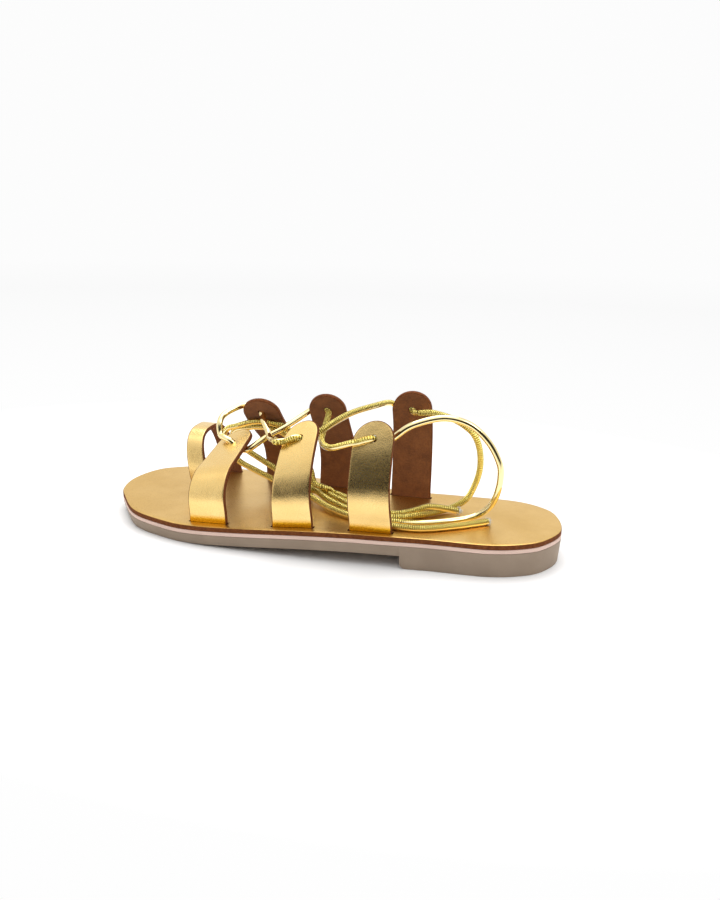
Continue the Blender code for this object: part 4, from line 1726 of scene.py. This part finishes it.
class Lace:
    """The one round lace: its crossings, and the two free halves tied in a bow."""

    def __init__(self, straps: dict[str, LaceStrap], finishes: Finishes) -> None:
        """Keep what the lace passes through.

        Args:
            straps: the six straps by name.
            finishes: the shared finishes.
        """
        self.straps = straps
        self.finishes = finishes
        self.rolled = rolled_lace_tree()
        self.frayed = frayed_end_tree()
        self.crossings = self.crossings_route()

    def through_hole(self, strap: LaceStrap, inwards: bool) -> list:
        """Lay out the lace's places at one hole.

        Args:
            strap: the strap whose hole it is.
            inwards: whether the lace runs in from the outer face or out to it.

        Returns:
            The places, measured from the heel.
        """
        steps = ((3.2, 6.8, -1.7), (3.0, 3.8, -0.8), (1.9, 1.2, -0.2), (-1.2, -0.4, 0.0), (-3.4, -1.7, -0.6))
        places = [strap.near_hole(*step) for step in steps]
        return places if inwards else places[::-1]

    def crossings_route(self) -> list:
        """Lay out the run of lace that goes through all six holes and crosses the foot.

        Returns:
            Its places, measured from the heel.
        """
        front_outer = self.straps["strap_front_lateral"]
        middle_outer = self.straps["strap_middle_lateral"]
        rear_outer = self.straps["strap_rear_lateral"]
        front_inner = self.straps["strap_front_medial"]
        middle_inner = self.straps["strap_middle_medial"]
        rear_inner = self.straps["strap_rear_medial"]
        return [
            rear_outer.near_hole(-5.4, -5.0, 0.3),
            *self.through_hole(rear_outer, False),
            rear_outer.near_hole(3.6, 10.8, -2.4),
            from_middle(-15.0, 31.5, 57.8),
            from_middle(-6.0, 20.5, 55.2),
            from_middle(-1.0, 10.5, 55.5),
            from_middle(0.5, 0.5, 60.0),
            *self.through_hole(middle_inner, False),
            middle_inner.near_hole(4.4, 12.5, -5.0),
            from_middle(27.0, -7.4, 53.4),
            from_middle(35.0, -0.8, 49.0),
            front_outer.near_hole(-5.0, -7.5, 0.0),
            front_outer.near_hole(-3.6, -2.2, -0.6),
            front_outer.near_hole(-1.4, -0.7, 0.0),
            front_outer.near_hole(2.0, 0.9, 0.3),
            front_outer.near_hole(3.6, 4.2, 1.6),
            front_outer.near_hole(4.6, 7.6, 4.4),
            from_middle(61.9, 3.2, 55.0),
            from_middle(60.9, -2.6, 58.7),
            front_inner.near_hole(4.0, 12.0, 0.5),
            *self.through_hole(front_inner, True),
            from_middle(38.0, -2.0, 56.8),
            from_middle(33.2, 3.5, 53.6),
            from_middle(29.0, 9.5, 51.6),
            from_middle(22.0, 17.5, 53.4),
            middle_outer.near_hole(4.4, 11.2, -1.8),
            *self.through_hole(middle_outer, True),
            from_middle(-2.5, 17.0, 60.4),
            from_middle(-13.0, 4.0, 67.0),
            from_middle(-23.0, -11.5, 68.8),
            rear_inner.near_hole(4.2, 12.4, 1.8),
            *self.through_hole(rear_inner, True),
            rear_inner.near_hole(-5.4, -5.0, 0.3),
        ]

    def past_end(self, route: Sequence, gap: float) -> tuple[float, float, float]:
        """Find the place just past a route's end.

        Args:
            route: the route's places.
            gap: how far past its last place, in millimetres.

        Returns:
            The place, in the direction in which the route leaves.
        """
        last = np.array(route[-1])
        way = last - np.array(route[-2])
        return tuple(last + way / np.linalg.norm(way) * gap)

    def leave_hole(self, route: Sequence) -> list[tuple[float, float, float]]:
        """Return a free half's first two places, straight on from a route's end."""
        return [self.past_end(route, gap) for gap in (LACE.hole_gap, LACE.hole_gap + LACE.diameter)]

    def lateral_half(self) -> FreeLace:
        """Lay out the half that leaves the outer rear strap and makes the longer loop.

        Returns:
            The half.
        """
        points = self.leave_hole(self.crossings[::-1]) + [from_middle(*place) for place in LATERAL_PLACES]
        return FreeLace("lace_half_lateral", "lace_core_lateral", points,
                        ("lace_loop_lateral", "lace_bow_lateral", "lace_end_short", "lace_knot"), 4,
                        ((0.0, SEAM_HIDDEN), (0.26, SEAM_HIDDEN), (0.36, SEAM_RAISED), (1.0, SEAM_RAISED)))

    def medial_half(self) -> FreeLace:
        """Lay out the half that leaves the inner rear strap and makes the shorter loop.

        Returns:
            The half.
        """
        points = self.leave_hole(self.crossings) + [from_middle(*place) for place in MEDIAL_PLACES]
        return FreeLace("lace_half_medial", "lace_core_medial", points,
                        ("lace_loop_medial", "lace_bow_medial", "lace_end_long"), 9,
                        ((0.0, SEAM_OUTER), (0.24, SEAM_OUTER), (0.34, SEAM_RAISED), (1.0, SEAM_RAISED)))

    def seam_ways(self, line: np.ndarray, seams: Sequence) -> np.ndarray:
        """Turn the seam gently toward the ways that it should face.

        Args:
            line: the centreline's places in metres.
            seams: shares of the length, each with the way that the seam side faces there.

        Returns:
            The seam side's direction at each place, square to the lace.
        """
        along = np.gradient(line, axis=0)
        along /= np.linalg.norm(along, axis=1)[:, None]
        shares = np.linspace(0.0, 1.0, len(line))
        marks = [share for share, _ in seams]
        wish = np.stack([np.interp(shares, marks, [way[axis] for _, way in seams]) for axis in range(3)],
                        axis=1)
        carried = np.cross(along[0], (0.0, 0.0, 1.0))
        first = []
        for way in along:
            carried = carried - way * float(carried @ way)
            carried = carried / np.linalg.norm(carried)
            first.append(carried)
        first = np.array(first)
        second = np.cross(along, first)
        reading = (wish * first).sum(axis=1) + 1j * (wish * second).sum(axis=1)
        weight = np.abs(reading) ** 2 + LACE.least_weight
        angle = np.unwrap(np.angle(reading))
        reach = np.arange(-LACE.turn_steps, LACE.turn_steps + 1) * LACE.step / LACE.turn_reach
        window = np.exp(-reach ** 2)
        padding = len(window) // 2
        held = np.pad(angle * weight, padding, mode="edge")
        share = np.pad(weight, padding, mode="edge")
        angle = np.convolve(held, window, "valid") / np.convolve(share, window, "valid")
        return first * np.cos(angle)[:, None] + second * np.sin(angle)[:, None]

    def tube(self, name: str, line: np.ndarray, seams: Sequence) -> bpy.types.Object:
        """Roll the lace along a centreline.

        Args:
            name: the object's name.
            line: the centreline's places in metres.
            seams: shares of the length, each with the way that the seam side faces there.

        Returns:
            The lace's object.
        """
        mesh = bpy.data.meshes.new(name)
        edges = [(index, index + 1) for index in range(len(line) - 1)]
        mesh.from_pydata([tuple(point) for point in line], edges, [])
        facing = mesh.attributes.new("seam way", "FLOAT_VECTOR", "POINT")
        facing.data.foreach_set("vector", self.seam_ways(line, seams).ravel())
        host = bpy.data.objects.new(name, mesh)
        bpy.context.scene.collection.objects.link(host)
        self.rolled.grow(host, {
            "Lace diameter": LACE.diameter * MM,
            "Seam depth": LACE.seam_depth * MM,
            "Lace finish": self.finishes.foil,
        })
        return host

    def cut_end(self, half: FreeLace, line: np.ndarray) -> bpy.types.Object:
        """Make the pale fibre core that stands a little out of the lace's cut end.

        Args:
            half: the half that ends there.
            line: its centreline's places in metres.

        Returns:
            The core's object.
        """
        way = Vector(line[-1] - line[-2]).normalized()
        turn = way.to_track_quat("Z", "Y").to_matrix().to_4x4()
        seat = Matrix.Translation(Vector(line[-1]) - way * LACE.core_sink * MM) @ turn
        work = bmesh.new()
        bmesh.ops.create_cone(work, cap_ends=True, segments=LACE.core_sides, radius1=LACE.core_radius * MM,
                              radius2=LACE.core_radius * LACE.core_taper * MM, depth=LACE.core_depth * MM)
        bmesh.ops.transform(work, matrix=seat, verts=work.verts)
        mesh = bpy.data.meshes.new(half.end_name)
        work.to_mesh(mesh)
        work.free()
        host = bpy.data.objects.new(half.end_name, mesh)
        bpy.context.scene.collection.objects.link(host)
        self.frayed.grow(host, {
            "Fibre length": LACE.fibre_length * MM,
            "Fibre radius": LACE.fibre_radius * MM,
            "Fibre density": LACE.fibre_density,
            "Seed": half.seed,
            "Core finish": self.finishes.core,
        })
        return host

    def build_free(self, half: FreeLace) -> None:
        """Args:
            half: the half to make.
        """
        line = lace_line(half.points)
        piece = self.tube(half.name, line, half.seams)
        core = self.cut_end(half, line)
        hand_over(piece, Slot.LACE, *half.nodes)
        hand_over(core, Slot.LACE)

    def build(self) -> None:
        """Make the free halves first, then the crossings."""
        self.build_free(self.lateral_half())
        self.build_free(self.medial_half())
        line = lace_line(self.crossings)
        seams = (
            (0.0, SEAM_RAISED), (0.12, SEAM_RAISED), (0.17, SEAM_OUTER), (0.25, SEAM_OUTER),
            (0.31, SEAM_HIDDEN), (0.66, SEAM_HIDDEN), (0.72, SEAM_LOW), (0.77, SEAM_LOW),
            (0.84, SEAM_RAISED), (1.0, SEAM_RAISED),
        )
        hand_over(self.tube("lace_through_holes", line, seams), Slot.LACE, "lace_crossings")


# The camera and the studio


@dataclass(frozen=True)
class PhotoCamera:
    """The photograph's camera: a perspective view from the outer side, a little from the heel."""

    azimuth: float = 22.36
    elevation: float = 21.84
    distance: float = 0.54195
    target: tuple = (0.0, 0.0, 0.010)
    roll: float = -0.767
    focal: float = 1000.0
    spot: tuple = (327.65, 511.26)
    size: tuple = (720, 900)

    def build(self) -> bpy.types.Object:
        """Set the scene's camera up, turned so that the target lands on its spot of the image.

        Returns:
            The camera.
        """
        azimuth = math.radians(self.azimuth)
        elevation = math.radians(self.elevation)
        back = Vector((-math.sin(azimuth) * math.cos(elevation), math.cos(azimuth) * math.cos(elevation),
                       math.sin(elevation)))
        look = -back
        right = look.cross(Vector((0, 0, 1))).normalized()
        up = right.cross(look)
        side = math.atan((self.spot[0] - self.size[0] / 2) / self.focal)
        rise = math.atan((self.spot[1] - self.size[1] / 2) / self.focal)
        right, look = (right * math.cos(side) + look * math.sin(side),
                       look * math.cos(side) - right * math.sin(side))
        up, look = (up * math.cos(rise) - look * math.sin(rise),
                    look * math.cos(rise) + up * math.sin(rise))
        roll = math.radians(self.roll)
        right, up = (right * math.cos(roll) + up * math.sin(roll),
                     up * math.cos(roll) - right * math.sin(roll))
        data = bpy.data.cameras.new("photo camera")
        data.sensor_fit = "AUTO"
        data.sensor_width = 36.0
        data.lens = data.sensor_width * self.focal / max(self.size)
        data.clip_start = 0.01
        data.clip_end = 60.0
        camera = bpy.data.objects.new("photo camera", data)
        turn = Matrix((right, up, -look)).transposed().to_4x4()
        camera.matrix_world = Matrix.Translation(Vector(self.target) + back * self.distance) @ turn
        bpy.context.scene.collection.objects.link(camera)
        bpy.context.scene.camera = camera
        return camera


@dataclass(frozen=True)
class SoftBox:
    """One area light, placed by where it stands and what it looks at."""

    name: str
    place: tuple
    aim: tuple
    width: float
    height: float
    power: float

    def build(self) -> bpy.types.Object:
        """Set the light up.

        Returns:
            The light.
        """
        data = bpy.data.lights.new(self.name, "AREA")
        data.shape = "RECTANGLE"
        data.size = self.width
        data.size_y = self.height
        data.energy = self.power
        light = bpy.data.objects.new(self.name, data)
        way = Vector(self.aim) - Vector(self.place)
        turn = way.to_track_quat("-Z", "Y").to_matrix().to_4x4()
        light.matrix_world = Matrix.Translation(self.place) @ turn
        bpy.context.scene.collection.objects.link(light)
        return light


@dataclass(frozen=True)
class Studio:
    """A white sheet under the sandal in a bright room, with a dark strip low behind the camera and a painted
    shade on the sheet that only reflections see.

    Distances on the sheet are in metres.  The room's ranges are parts of the way in which it is seen.
    """

    sheet_reach: float = 1.6
    sheet_sides: int = 96
    sheet_white: float = 0.975
    sheet_dim: float = 0.952
    # The next three set a painted shade: a dark patch on the sheet, between the sandal and the camera, that
    # only reflections see
    reflected_shade_colour: tuple = (0.015, 0.013, 0.010, 1.0)
    reflected_shade_ahead: tuple = (0.095, 0.19)
    reflected_shade_toeward: tuple = (0.025, 0.085)
    room_front: tuple = (-0.10, 0.30)
    room_low: tuple = (0.64, 0.33)
    room_toeward: tuple = (0.50, 0.30)
    room_high: tuple = (0.66, 0.86)
    room_lamp: float = 0.7
    room_light: float = 0.96
    room_dark: tuple = (0.030, 0.026, 0.022)

    def floor_material(self) -> bpy.types.Material:
        """Lay out the sheet's finish: lit white close in, and even white farther out, with a painted shade
        that glossy rays see on the sheet between the sandal and the camera.

        Returns:
            The material.
        """
        hand = Shading("studio sheet")
        hand.shader.inputs["Base Color"].default_value = (0.88, 0.88, 0.88, 1.0)
        hand.set(Roughness=0.8, Specular_IOR_Level=0.1)
        reach = hand.node("ShaderNodeVectorMath", operation="LENGTH")
        hand.link(hand.stretched((0.62, 1.0, 1.0)), reach.inputs[0])
        far = hand.spread(reach.outputs["Value"], 0.13, 0.24, 0.0, 1.0)
        rays = hand.node("ShaderNodeLightPath")
        even = hand.node("ShaderNodeEmission")
        fading = hand.spread(reach.outputs["Value"], 0.22, 0.75, 0.995, self.sheet_dim)
        rising = hand.spread(reach.outputs["Value"], 0.75, 1.0, 0.0, self.sheet_white - self.sheet_dim)
        hand.link(hand.maths("ADD", fading, rising), even.inputs["Strength"])
        seen = hand.choose(hand.maths("MULTIPLY", far, rays.outputs["Is Camera Ray"]),
                           hand.shader.outputs["BSDF"], even.outputs["Emission"])
        # Painted shade for reflections: glossy rays see the sheet dark in a patch between the sandal and the
        # camera, weaker toward the toe
        parts = hand.node("ShaderNodeSeparateXYZ")
        hand.link(hand.place, parts.inputs["Vector"])
        ahead = hand.spread(parts.outputs["Y"], *self.reflected_shade_ahead, 0.0, 1.0)
        slant = hand.maths("SUBTRACT", parts.outputs["X"], hand.maths("MULTIPLY", parts.outputs["Y"], 0.30))
        toeward = hand.spread(slant, *self.reflected_shade_toeward, 1.0, 0.2)
        front = hand.maths("MULTIPLY", ahead, toeward)
        reflected_shade = hand.node("ShaderNodeBsdfDiffuse")
        reflected_shade.inputs["Color"].default_value = self.reflected_shade_colour
        sheet_with_reflected_shade = hand.choose(hand.maths("MULTIPLY", front, rays.outputs["Is Glossy Ray"]), seen,
                            reflected_shade.outputs["BSDF"])
        hand.link(sheet_with_reflected_shade, hand.tree.nodes["Material Output"].inputs["Surface"])
        return hand.material

    def floor(self) -> None:
        """Lay the white sheet."""
        turns = [2 * math.pi * step / self.sheet_sides for step in range(self.sheet_sides)]
        corners = [(self.sheet_reach * math.cos(turn), self.sheet_reach * math.sin(turn), 0.0)
                   for turn in turns]
        floor = new_object("studio_floor", corners, [tuple(range(self.sheet_sides))],
                           [self.floor_material()], smooth=None)
        if floor.data.polygons[0].normal.z < 0:
            floor.data.flip_normals()

    def surround(self) -> None:
        """Light the scene from a bright room whose low front is dark."""
        world = bpy.data.worlds.new("studio room")
        bpy.context.scene.world = world
        world.use_nodes = True
        world.node_tree.nodes.clear()
        hand = ShaderHand(world.node_tree)
        out = hand.node("ShaderNodeOutputWorld")
        parts = hand.node("ShaderNodeSeparateXYZ")
        hand.link(hand.node("ShaderNodeTexCoord").outputs["Generated"], parts.inputs["Vector"])
        front = hand.spread(parts.outputs["Y"], *self.room_front, 0.0, 1.0, "SMOOTHSTEP")
        low = hand.spread(parts.outputs["Z"], *self.room_low, 0.0, 1.0, "SMOOTHSTEP")
        toeward = hand.spread(parts.outputs["X"], *self.room_toeward, 0.0, 1.0, "SMOOTHSTEP")
        dark = hand.maths("MULTIPLY", hand.maths("MULTIPLY", front, low), toeward)
        high = hand.spread(parts.outputs["Z"], *self.room_high, 0.0, self.room_lamp, "SMOOTHSTEP")
        room = hand.node("ShaderNodeBackground")
        hand.link(hand.blend(dark, (1.0, 1.0, 1.0), self.room_dark), room.inputs["Color"])
        hand.link(hand.maths("MULTIPLY_ADD", high, front, self.room_light), room.inputs["Strength"])
        sheet = hand.node("ShaderNodeBackground")
        sheet.inputs["Color"].default_value = (self.sheet_white, self.sheet_white, self.sheet_white, 1.0)
        rays = hand.node("ShaderNodeLightPath")
        seen = hand.choose(rays.outputs["Is Camera Ray"], room.outputs["Background"],
                           sheet.outputs["Background"])
        hand.link(seen, out.inputs["Surface"])

    def build(self) -> None:
        """Make the sheet, the surround and the lights."""
        self.floor()
        self.surround()
        SoftBox("top softbox", (0.1, -0.35, 1.1), (0.0, 0.0, 0.0), 0.9, 0.9, 8.0).build()
        SoftBox("heel softbox", (-0.9, 0.2, 0.8), (0.0, 0.0, 0.03), 0.5, 0.5, 2.5).build()
        view = bpy.context.scene.view_settings
        view.view_transform = "Standard"
        view.look = "None"
        LOG.info("studio made")


def main() -> None:
    """Build the sandal and its studio."""
    logging.basicConfig(level=logging.INFO, format="%(name)s: %(message)s")
    finishes = Finishes.make()
    PhotoCamera().build()
    straps = {row.name: LaceStrap(row, finishes) for row in STRAP_ROWS}
    toe_loop = ToeLoop(finishes)
    Lace(straps, finishes).build()
    slits = [strap.slit() for strap in straps.values()] + toe_loop.slits()
    Sole(finishes, slits).build()
    for strap in straps.values():
        strap.build()
    toe_loop.build()
    Studio().build()


if __name__ == "__main__":
    main()
